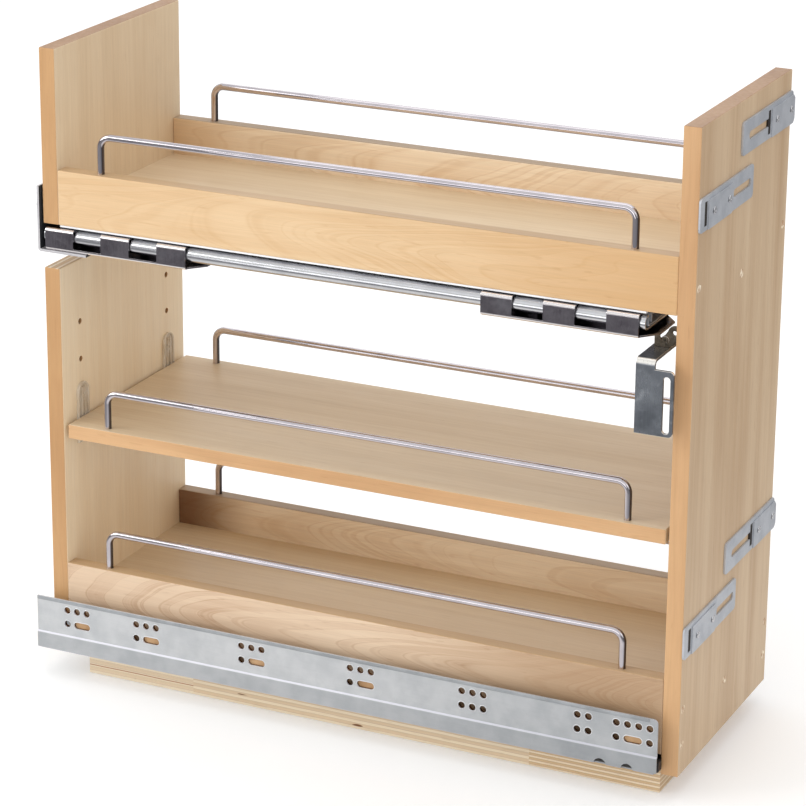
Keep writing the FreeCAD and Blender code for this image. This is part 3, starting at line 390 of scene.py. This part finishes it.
# a wood tone darker than the rails: painted shade on the wood seen through the slots
seen_wood = plastic("wood_seen_through", srgb(206, 168, 126), srgb(178, 138, 96), (0.5, 0.6), 60.0)
screw_zinc = steel("screw_zinc", srgb(232, 232, 234), srgb(206, 206, 210), (0.2, 0.32), 0, 0.8, 0.0, 0.3)
black = plastic("black_plastic", srgb(38, 38, 40), srgb(26, 26, 28), (0.42, 0.55))
clear = plastic("clear_plastic", srgb(250, 238, 220), srgb(238, 220, 194), (0.14, 0.26),
                Transmission_Weight=0.3, IOR=1.46)
filler = plastic("wood_filler", srgb(250, 238, 214), srgb(176, 130, 90), (0.6, 0.75), 260.0)


def dress(name, look):
    """Give a carried-over CAD node its material."""
    data = nodes[name].data
    data.materials.clear()
    data.materials.append(look)


# ---- mesh helpers ------------------------------------------------------------------------------
def merged(name):
    """A copy of a CAD node's mesh with its seams closed."""
    bm = bmesh.new()
    bm.from_mesh(nodes[name].data)
    bmesh.ops.remove_doubles(bm, verts=bm.verts, dist=0.002 * MM)
    return bm


def soften(bm, width, sharp=40.0, steps=2):
    """Round every sharp edge."""
    edges = [e for e in bm.edges if e.is_manifold and e.calc_face_angle(0) > math.radians(sharp)]
    bmesh.ops.bevel(bm, geom=edges, offset=width * MM, offset_type="OFFSET", segments=steps, profile=0.5,
                    affect="EDGES", clamp_overlap=False)


def piece(bm, name, look, stands_for, sharp=32.0):
    """Turn a finished mesh into an object that stands for CAD nodes of one body."""
    bmesh.ops.recalc_face_normals(bm, faces=bm.faces)
    for face in bm.faces:
        face.smooth = True
    for edge in bm.edges:
        edge.smooth = not edge.is_manifold or edge.calc_face_angle(0) < math.radians(sharp)
    mesh = bpy.data.meshes.new(name)
    bm.to_mesh(mesh)
    bm.free()
    mesh.materials.append(look)
    made = bpy.data.objects.new(name, mesh)
    scene.collection.objects.link(made)
    weights = made.modifiers.new("flat_faces", "WEIGHTED_NORMAL")
    weights.keep_sharp = True
    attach(made, nodes[stands_for[0]]["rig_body"])
    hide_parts(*stands_for)
    return made


def islands(name):
    """Lowest and highest corner of each separate solid of a CAD node."""
    bm = merged(name)
    left = set(bm.verts)
    found = []
    while left:
        front = [left.pop()]
        group = []
        while front:
            vert = front.pop()
            group.append(vert.co.copy())
            for edge in vert.link_edges:
                other = edge.other_vert(vert)
                if other in left:
                    left.remove(other)
                    front.append(other)
        low = Vector(min(p[k] for p in group) for k in range(3))
        high = Vector(max(p[k] for p in group) for k in range(3))
        found.append((low, high))
    bm.free()
    return sorted(found, key=lambda pair: tuple(round(c, 5) for c in pair[0]))


def ring_of(bm, centre, side, up, radius, count):
    """A circle of vertices."""
    turn = 2 * math.pi / count
    return [bm.verts.new(centre + side * (radius * math.cos(i * turn)) + up * (radius * math.sin(i * turn)))
            for i in range(count)]


def bridge(bm, first, second):
    count = len(first)
    for i in range(count):
        j = (i + 1) % count
        bm.faces.new((first[i], first[j], second[j], second[i]))


def skin(bm, rings, closed=True):
    """Faces between neighbouring rings, with a face over each end."""
    for first, second in zip(rings, rings[1:]):
        bridge(bm, first, second)
    if closed:
        bm.faces.new(rings[0][::-1])
        bm.faces.new(rings[-1])


def outline_prism(bm, points, direction, depth):
    """Extrude a flat outline."""
    lower = [bm.verts.new(p) for p in points]
    upper = [bm.verts.new(p + direction * depth) for p in points]
    skin(bm, [lower, upper])


# ---- chrome gallery wires ----------------------------------------------------------------------
WIRE_BEND = 9.0 * MM
WIRE_SIDES = 40
BEND_STEPS = 14


def gallery_wire(name):
    low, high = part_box(name)
    radius = (high.y - low.y) / 2
    y = (low.y + high.y) / 2
    left, right = low.x + radius, high.x - radius
    top = high.z - radius
    stations = [(left, low.z + 0.6 * MM, 0.0), (left, top - WIRE_BEND, 0.0)]
    for i in range(1, BEND_STEPS + 1):
        angle = math.pi / 2 * i / BEND_STEPS
        stations.append((left + WIRE_BEND * (1 - math.cos(angle)),
                         top - WIRE_BEND + WIRE_BEND * math.sin(angle), angle))
    for i in range(BEND_STEPS + 1):
        angle = math.pi / 2 * i / BEND_STEPS
        stations.append((right - WIRE_BEND * (1 - math.sin(angle)), top - WIRE_BEND * (1 - math.cos(angle)),
                         math.pi / 2 + angle))
    stations.append((right, low.z + 0.6 * MM, math.pi))
    bm = bmesh.new()
    rings = []
    across = Vector((0, 1, 0))
    for x, z, angle in stations:
        outward = Vector((-math.cos(angle), 0, math.sin(angle)))
        rings.append(ring_of(bm, Vector((x, y, z)), outward, across, radius, WIRE_SIDES))
    for end, shift in ((0, -0.6 * MM), (-1, -0.6 * MM)):
        x, z, angle = stations[end]
        outward = Vector((-math.cos(angle), 0, math.sin(angle)))
        cap = ring_of(bm, Vector((x, y, z + shift)), outward, across, radius - 0.6 * MM, WIRE_SIDES)
        if end == 0:
            rings.insert(0, cap)
        else:
            rings.append(cap)
    skin(bm, rings)
    piece(bm, name.replace("wire", "gallery_rod"), chrome, [name], 45.0)


# ---- screws ------------------------------------------------------------------------------------
def lathe(bm, foot, way, profile, count=32):
    """Turn a profile of (radius, height) pairs about the line from foot along way; returns its rings."""
    side = way.orthogonal().normalized()
    up = way.cross(side)
    return [ring_of(bm, foot + way * height, side, up, radius, count) for radius, height in profile]


def cross_recess(bm, rim, centre, way, size, depth):
    """Fill a ring with a face that has a cross-shaped driver recess."""
    side = way.orthogonal().normalized()
    up = way.cross(side)
    arm = 0.3
    shape = [(1, -arm), (1, arm), (arm, arm), (arm, 1), (-arm, 1), (-arm, arm),
             (-1, arm), (-1, -arm), (-arm, -arm), (-arm, -1), (arm, -1), (arm, -arm)]
    levels = []
    for scale, drop in ((1.0, 0.0), (0.8, 0.35), (0.55, 1.0)):
        floor = centre - way * (depth * drop)
        reach = size * scale
        levels.append([bm.verts.new(floor + side * (u * reach) + up * (v * reach)) for u, v in shape])
    bridge(bm, levels[0], levels[1])
    bridge(bm, levels[1], levels[2])
    bm.faces.new(levels[2])
    edges = []
    for loop in (rim, levels[0]):
        for i, vert in enumerate(loop):
            other = loop[(i + 1) % len(loop)]
            edges.append(bm.edges.get((vert, other)) or bm.edges.new((vert, other)))
    bmesh.ops.triangle_fill(bm, use_beauty=True, edges=edges)


def pan_screw(bm, seat, way, radius, height, shank, length):
    """A pan-head screw. seat is the middle of the surface under its head, way points out of the work."""
    tip = min(4.0 * MM, length / 2)
    profile = [(radius * 0.6, height), (radius * 0.78, height * 0.93), (radius * 0.92, height * 0.68),
               (radius, height * 0.3), (radius, 0.0), (shank, 0.0), (shank, tip - length),
               (shank * 0.3, -length)]
    rings = lathe(bm, seat, way, profile)
    skin(bm, rings, False)
    bm.faces.new(rings[-1])
    cross_recess(bm, rings[0], seat + way * height, way, radius * 0.46, min(height * 0.9, 0.9 * MM))


def wood_screw(bm, seat, way, radius, shank, length):
    """A countersunk screw, its head just under the surface."""
    sunk = 0.12 * MM
    profile = [(radius * 0.9, -sunk), (radius * 0.97, -sunk - 0.15 * MM), (shank, shank - radius),
               (shank, 5 * MM - length), (shank * 0.25, -length)]
    rings = lathe(bm, seat, way, profile)
    skin(bm, rings, False)
    bm.faces.new(rings[-1])
    cross_recess(bm, rings[0], seat - way * sunk, way, radius * 0.5, 1.2 * MM)


def screw_set(name, way_of, head, look=None, pan=True):
    """Detailed screws for every solid of a CAD screw node. head is (radius, height, shank radius) in mm."""
    radius, height, shank = (value * MM for value in head)
    bm = bmesh.new()
    for low, high in islands(name):
        way = Vector(way_of(low, high))
        middle = (low + high) / 2
        half = abs((high - low).dot(way)) / 2
        end = middle + way * half
        if pan:
            pan_screw(bm, end - way * height, way, radius, height, shank, 2 * half - height)
        else:
            wood_screw(bm, end, way, radius, shank, 2 * half)
    piece(bm, name + "_detailed", look or screw_zinc, [name])


# ---- sheet-metal parts -------------------------------------------------------------------------
def hole_loops(bm, axis, level):
    """Closed outlines of the openings in the flat face at that level of an axis, as lists of points."""
    def on_face(face):
        return abs(face.normal[axis]) > 0.99 and abs(face.calc_center_median()[axis] - level) < 0.02 * MM

    rims = {}
    for edge in bm.edges:
        if len(edge.link_faces) == 2 and sum(on_face(face) for face in edge.link_faces) == 1:
            for vert in edge.verts:
                rims.setdefault(vert, []).append(edge.other_vert(vert))
    loops = []
    while rims:
        start = next(iter(rims))
        loop = [start]
        while True:
            onward = [v for v in rims.pop(loop[-1]) if v in rims]
            if not onward:
                break
            loop.append(onward[0])
        loops.append([v.co.copy() for v in loop])
    return loops


def rim_rings(bm, loop, out, steps):
    """Rings that follow one opening. steps are (distance outward from its edge, lift along out) in metres."""
    low, high = corners_of(loop)
    middle = (low + high) / 2
    half_run = (high.x - low.x - high.z + low.z) / 2
    rings = []
    for away, lift in steps:
        ring = []
        for point in loop:
            heart = Vector((min(max(point.x, middle.x - half_run), middle.x + half_run), point.y, middle.z))
            ring.append(bm.verts.new(point + (point - heart).normalized() * away + out * lift))
        rings.append(ring)
    return rings


def corners_of(points):
    return [Vector(pick(p[k] for p in points) for k in range(3)) for pick in (min, max)]


def openings(loops, largest=20 * MM):
    """The holes and slots among the outlines, each with whether it is a slot."""
    for loop in loops:
        low, high = corners_of(loop)
        if (high - low).length < largest:
            yield loop, high.x - low.x > 1.5 * (high.z - low.z)


def sheet_part(name, look, width=0.25, steps=2):
    bm = merged(name)
    soften(bm, width, steps=steps)
    piece(bm, name + "_formed", look, [name])


def slide_channel(name, outward):
    """The long cabinet member: folded top edge, and a low rim and a drawn collar at every hole of its web."""
    bm = merged(name)
    low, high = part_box(name)
    web = (low.y if outward < 0 else high.y) - outward * WEB_STEP
    out = Vector((0, outward, 0))
    loops = hole_loops(bm, 1, web)
    soften(bm, 0.22, sharp=50)
    for vert in bm.verts:
        vert.co.y = min(max(vert.co.y, low.y), high.y)
    piece(bm, name + "_formed", galvanised, [name])

    bm = bmesh.new()
    rim = ((0.0, -0.3), (0.0, 0.24), (0.14, 0.32), (0.34, 0.32), (0.54, 0.17), (0.68, -0.04))
    for loop, _ in openings(loops):
        skin(bm, rim_rings(bm, loop, out, [(away * MM, lift * MM) for away, lift in rim]), False)
    # the rims' paler steel is a painted highlight
    piece(bm, name + "_rims", pale_rim, [name])

    bm = bmesh.new()
    profile = ((-0.2, -3.2), (0.0, -3.2), (0.26, -2.9), (0.42, -2.2), (0.42, -1.0), (0.22, -0.35),
               (-0.2, -0.25))
    ends = [[bm.verts.new(Vector((x, web, high.z)) + out * (proud * MM) + Vector((0, 0, drop * MM)))
             for proud, drop in profile] for x in (low.x + 0.3 * MM, high.x - 7 * MM)]
    skin(bm, ends)
    # the fold piece's darker steel is painted shade
    piece(bm, name + "_fold", folded, [name])

    collars = bmesh.new()
    floors = bmesh.new()
    for loop, is_slot in openings(loops):
        tube = ((0.03, -0.9), (0.03, -3.4), (0.5, -3.4), (0.5, -0.9))
        rings = rim_rings(collars, loop, out, [(away * MM, lift * MM) for away, lift in tube])
        skin(collars, rings + rings[:1], False)
        if is_slot:
            skin(floors, rim_rings(floors, loop, out, ((0.0, -3.0 * MM), (0.0, -2.2 * MM))))
    # painted shade and reflection: the collars' dark bronze colour
    piece(collars, name + "_collars", collar_shade_and_reflection, [name])
    # painted shade: the slot floors are a darker wood tone close behind the web
    piece(floors, name + "_slot_floors", seen_wood, [name])


def pivot_head():
    """The domed rivet head on the hanger's fork."""
    low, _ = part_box("stabilizer_front_hanger")
    seat = Vector((low.x + 8.9 * MM, low.y + 1.5 * MM, low.z + 6.1 * MM))
    profile = [(0.6 * MM, 1.5 * MM), (1.5 * MM, 1.42 * MM), (2.3 * MM, 1.1 * MM), (2.75 * MM, 0.5 * MM),
               (2.75 * MM, -0.2 * MM)]
    bm = bmesh.new()
    skin(bm, lathe(bm, seat, Vector((0, -1, 0)), profile))
    piece(bm, "hanger_pivot_head", white_zinc, ["stabilizer_front_hanger"])


# ---- door brackets -----------------------------------------------------------------------------
def painted_slit_shade(name):
    """A dark sheet in the slit beside a door bracket's adjusting plate: painted shade where the wood behind
    would show.
    """
    low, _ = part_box("door_bracket_adjuster_" + name)
    plate_low, plate_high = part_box("door_bracket_plate_" + name)
    middle = (plate_low.z + plate_high.z) / 2
    left, right = low.y - 6.95 * MM, low.y - 1.25 * MM
    bottom, top = middle - 9.45 * MM, middle + 8.95 * MM
    bm = bmesh.new()
    outline = [Vector((plate_low.x + 0.05 * MM, y, z))
               for y, z in ((left, bottom), (right, bottom), (right, top), (left, top))]
    outline_prism(bm, outline, Vector((1, 0, 0)), 1.3 * MM)
    soften(bm, 0.1)
    piece(bm, "door_bracket_slit_shade_" + name, shadow_steel, ["door_bracket_plate_" + name])


# ---- shelf clips -------------------------------------------------------------------------------
def shelf_clip(bm, low, high, towards):
    """An arched clear clip with a rim, two ribs, a ledge under the shelf and two pins in the panel."""
    pin = 9.0 * MM
    face = low.x + pin if towards > 0 else high.x - pin
    middle = (low.y + high.y) / 2
    half = (high.y - low.y) / 2
    arch_z = high.z - half
    shelf_low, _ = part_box("middle_shelf")
    way = Vector((towards, 0, 0))

    def at(out, y, z):
        return Vector((face + towards * out * MM, middle + y, z))

    def arch(out, inset):
        reach = half - inset * MM
        curve = [at(out, reach * math.cos(math.pi * i / 24), arch_z + reach * math.sin(math.pi * i / 24))
                 for i in range(25)]
        foot = low.z + inset * MM
        return curve + [at(out, -reach, foot), at(out, reach, foot)]

    outline_prism(bm, arch(0.0, 0.4), way, 1.1 * MM)
    rim = [[bm.verts.new(p) for p in arch(out, inset)]
           for out, inset in ((0.1, 0.0), (1.9, 0.0), (2.3, 0.3), (2.3, 1.2), (1.9, 1.5), (0.6, 1.5))]
    skin(bm, rim, False)
    for lean in (-1, 1):
        foot, head = lean * 4.4 * MM, lean * 1.2 * MM
        rib = [at(0.6, foot - 0.6 * MM, low.z + 2 * MM), at(0.6, foot + 0.6 * MM, low.z + 2 * MM),
               at(0.6, head + 0.6 * MM, high.z - 4 * MM), at(0.6, head - 0.6 * MM, high.z - 4 * MM)]
        outline_prism(bm, rib, way, 1.6 * MM)
    under = shelf_low.z - 0.1 * MM
    for y in (-4.5 * MM, 2.5 * MM):
        outline = ((0.5, 0.0), (12.8, 0.0), (12.8, 1.6), (2.0, 9.0), (0.5, 9.0))
        web = [at(out, y, under - drop * MM) for out, drop in outline]
        outline_prism(bm, web, Vector((0, 1, 0)), 2.0 * MM)
    shelf = [at(0.5, y, under - drop) for y, drop in ((-6.5 * MM, 0.0), (6.5 * MM, 0.0), (6.5 * MM, 1.4 * MM),
                                                      (-6.5 * MM, 1.4 * MM))]
    outline_prism(bm, shelf, way, 12.3 * MM)
    for z in (low.z + 6 * MM, low.z + 38 * MM):
        profile = [(2.4 * MM, 0.3 * MM), (2.4 * MM, -8.2 * MM), (1.6 * MM, -9.0 * MM)]
        skin(bm, lathe(bm, at(0.0, 0.0, z), way, profile))
        boss = [(3.2 * MM, 0.9 * MM), (3.0 * MM, 1.9 * MM), (1.6 * MM, 2.0 * MM), (1.2 * MM, 1.2 * MM)]
        skin(bm, lathe(bm, at(0.0, 0.0, z), way, boss))


def clip_set(name):
    bm = bmesh.new()
    for low, high in islands(name):
        shelf_clip(bm, low, high, 1 if low.x < 0 else -1)
    piece(bm, name + "_moulded", clear, [name])


# ---- filled screw heads ------------------------------------------------------------------------
def filler_plugs(name):
    """Uneven dabs of wood filler over the countersunk heads on the outer faces of both panels."""
    bm = bmesh.new()
    sides = 36
    for index, (low, high) in enumerate(islands(name)):
        way = Vector((1 if low.x > 0 else -1, 0, 0))
        centre = Vector((high.x if low.x > 0 else low.x, (low.y + high.y) / 2, (low.z + high.z) / 2))
        rings = []
        for scale, lift in ((1.0, -0.05), (0.97, 0.03), (0.75, 0.07), (0.35, 0.08)):
            ring = []
            for i in range(sides):
                angle = 2 * math.pi * i / sides
                reach = 3.5 + 0.35 * math.sin(2 * angle + index) + 0.2 * math.sin(5 * angle + 2.3 * index)
                shift = Vector((0, math.cos(angle), math.sin(angle))) * (reach * scale * MM)
                ring.append(bm.verts.new(centre + shift + way * (lift * MM)))
            rings.append(ring)
        skin(bm, rings)
    piece(bm, name + "_filled", filler, [name])


for name, look in wood_looks.items():
    dress(name, look)
for name in nodes:
    if name.startswith("wire_"):
        gallery_wire(name)

screw_set("door_bracket_screws", lambda low, high: (1, 0, 0), (2.8, 0.9, 1.75))
screw_set("panel_screws", lambda low, high: (1 if low.x > 0 else -1, 0, 0), (3.4, 0, 1.7), pan=False)
screw_set("slide_base_screws", lambda low, high: (0, 0, 1), (3.6, 1.8, 1.8))
screw_set("slide_tray_screws", lambda low, high: (0, 0, -1), (3.6, 1.8, 1.8))
screw_set("stabilizer_inner_screws", lambda low, high: (0, 0, -1), (3.6, 1.6, 1.8))
screw_set("stabilizer_rear_bolt", lambda low, high: (-1, 0, 0), (4.0, 3.8, 2.5))

slide_channel("slide_cabinet_member_near", -1)
slide_channel("slide_cabinet_member_far", 1)
for side in ("near", "far"):
    for part in ("slide_mid_member_", "slide_drawer_member_"):
        sheet_part(part + side, galvanised)
    for part in ("slide_cage_lower_", "slide_cage_upper_"):
        sheet_part(part + side, dark_steel, 0.12)
    sheet_part("slide_soft_close_" + side, black, 0.4)
    for level in ("upper_", "lower_"):
        sheet_part("door_bracket_plate_" + level + side, bracket_zinc, 0.3)
        sheet_part("door_bracket_adjuster_" + level + side, bracket_zinc, 0.25)
        painted_slit_shade(level + side)
sheet_part("slide_front_bumpers", black, 0.3)
sheet_part("stabilizer_outer_rail", bright, 0.2)
sheet_part("stabilizer_bracket_rear", plated, 0.25)
sheet_part("stabilizer_bracket_front", plated, 0.25)
sheet_part("stabilizer_mid_rail", bracket_zinc, 0.2)
sheet_part("stabilizer_inner_rail", bracket_zinc, 0.2)
sheet_part("stabilizer_front_bracket", dull_zinc, 0.35, 3)
sheet_part("stabilizer_front_hanger", lever_steel, 0.25)
pivot_head()
sheet_part("stabilizer_rear_plate", plain_zinc, 0.3)
sheet_part("stabilizer_tray_plate", white_zinc, 0.2)
dress("stabilizer_cage_outer", dark_steel)
dress("stabilizer_cage_inner", dark_steel)
dress("stabilizer_rivets", screw_zinc)
clip_set("shelf_clips")
filler_plugs("panel_screws")


# ---- studio ------------------------------------------------------------------------------------
def soft_light(name, place, aim, size, power, tint=(1.0, 1.0, 1.0)):
    data = bpy.data.lights.new(name, "AREA")
    data.shape = "RECTANGLE"
    data.size, data.size_y = size
    data.energy = power
    data.color = tint
    made = bpy.data.objects.new(name, data)
    made.location = place
    made.rotation_mode = "QUATERNION"
    made.rotation_quaternion = (Vector(aim) - Vector(place)).to_track_quat("-Z", "Y")
    scene.collection.objects.link(made)


def studio_floor():
    bm = bmesh.new()
    bmesh.ops.create_grid(bm, x_segments=1, y_segments=1, size=40.0)
    mesh = bpy.data.meshes.new("studio_floor")
    bm.to_mesh(mesh)
    bm.free()
    look = Recipe("studio_floor", Roughness=0.9)
    look.feed(look.shader.inputs["Specular IOR Level"], 0.1)
    tone = look.between(look.noise(look.place, 3.0), 0.3, 0.7)
    pale = look.mix(tone, (0.95, 0.95, 0.95, 1.0), (0.93, 0.93, 0.93, 1.0))
    path = look.add("LightPath")
    away = look.add("VectorMath", {"operation": "LENGTH"}, Vector=look.place).outputs["Value"]
    mirrored = look.mix(look.between(away, 0.3, 0.95), (0.8, 0.8, 0.8, 1.0), (0.2, 0.2, 0.21, 1.0))
    look.colour(look.mix(path.outputs["Is Glossy Ray"], pale, mirrored))
    look.feed(look.shader.inputs["Emission Color"], (1.0, 1.0, 1.0, 1.0))
    glow = look.math("MULTIPLY", path.outputs["Is Camera Ray"], 0.16)
    look.feed(look.shader.inputs["Emission Strength"], glow)
    mesh.materials.append(look.data)
    made = bpy.data.objects.new("studio_floor", mesh)
    made.location = (0, 0, cad_low.z - 0.3 * MM)
    scene.collection.objects.link(made)


def studio_world():
    """A white room: bright overhead, with a darker band at eye level for the metal to reflect."""
    world = bpy.data.worlds.new("studio")
    scene.world = world
    world.use_nodes = True
    tree = world.node_tree
    background = tree.nodes["Background"]
    coords = tree.nodes.new("ShaderNodeTexCoord")
    split = tree.nodes.new("ShaderNodeSeparateXYZ")
    ramp = tree.nodes.new("ShaderNodeValToRGB")
    rescale = tree.nodes.new("ShaderNodeMapRange")
    rescale.inputs["From Min"].default_value = -1.0
    tree.links.new(coords.outputs["Generated"], split.inputs[0])
    tree.links.new(split.outputs["Z"], rescale.inputs["Value"])
    tree.links.new(rescale.outputs[0], ramp.inputs[0])
    stops = ((0.0, 0.7), (0.42, 0.6), (0.48, 0.24), (0.56, 0.2), (0.63, 0.55), (0.72, 0.9), (1.0, 0.65))
    bar = ramp.color_ramp
    while len(bar.elements) < len(stops):
        bar.elements.new(0.5)
    for element, (at, level) in zip(bar.elements, stops):
        element.position = at
        element.color = (level, level, level, 1.0)
    seen = tree.nodes.new("ShaderNodeLightPath")
    picked = (0.85, 0.85, 0.85, 1.0)
    for kind, colour in (("Is Glossy Ray", ramp.outputs["Color"]), ("Is Camera Ray", (1.0, 1.0, 1.0, 1.0))):
        choice = tree.nodes.new("ShaderNodeMix")
        choice.data_type = "RGBA"
        tree.links.new(seen.outputs[kind], choice.inputs[0])
        for socket, value in ((choice.inputs[6], picked), (choice.inputs[7], colour)):
            if isinstance(value, tuple):
                socket.default_value = value
            else:
                tree.links.new(value, socket)
        picked = choice.outputs[2]
    tree.links.new(picked, background.inputs["Color"])


def studio_camera():
    data = bpy.data.cameras.new("camera")
    data.sensor_width = 36.0
    data.lens = 142.56
    data.shift_y = -0.099
    data.clip_end = 100.0
    made = bpy.data.objects.new("camera", data)
    place, aim = Vector((1.0195, -2.1825, 1.1024)), Vector((-0.0029, 0.0, 0.3134))
    made.location = place
    made.rotation_mode = "QUATERNION"
    level = (aim - place).to_track_quat("-Z", "Y")
    made.rotation_quaternion = level @ Quaternion((0, 0, 1), math.radians(0.47))
    scene.collection.objects.link(made)
    scene.camera = made


middle = (cad_low + cad_high) / 2
soft_light("key", middle + Vector((-2.0, -1.5, 1.1)), middle + Vector((-0.12, 0.0, 0.0)), (1.5, 1.5), 21.0,
           (1.0, 0.99, 0.975))
soft_light("front", middle + Vector((-0.3, -2.4, 0.1)), middle + Vector((-0.15, 0.0, -0.05)), (2.0, 0.9), 8.0)
soft_light("fill", middle + Vector((2.4, -0.9, 0.9)), middle, (1.4, 1.4), 4.0)
soft_light("top", middle + Vector((0.0, 0.2, 2.4)), middle, (2.4, 1.6), 8.0)
soft_light("back", middle + Vector((-0.8, 2.4, 1.4)), middle, (1.8, 1.4), 5.0)
studio_floor()
studio_world()
studio_camera()
scene.view_settings.view_transform = "Standard"
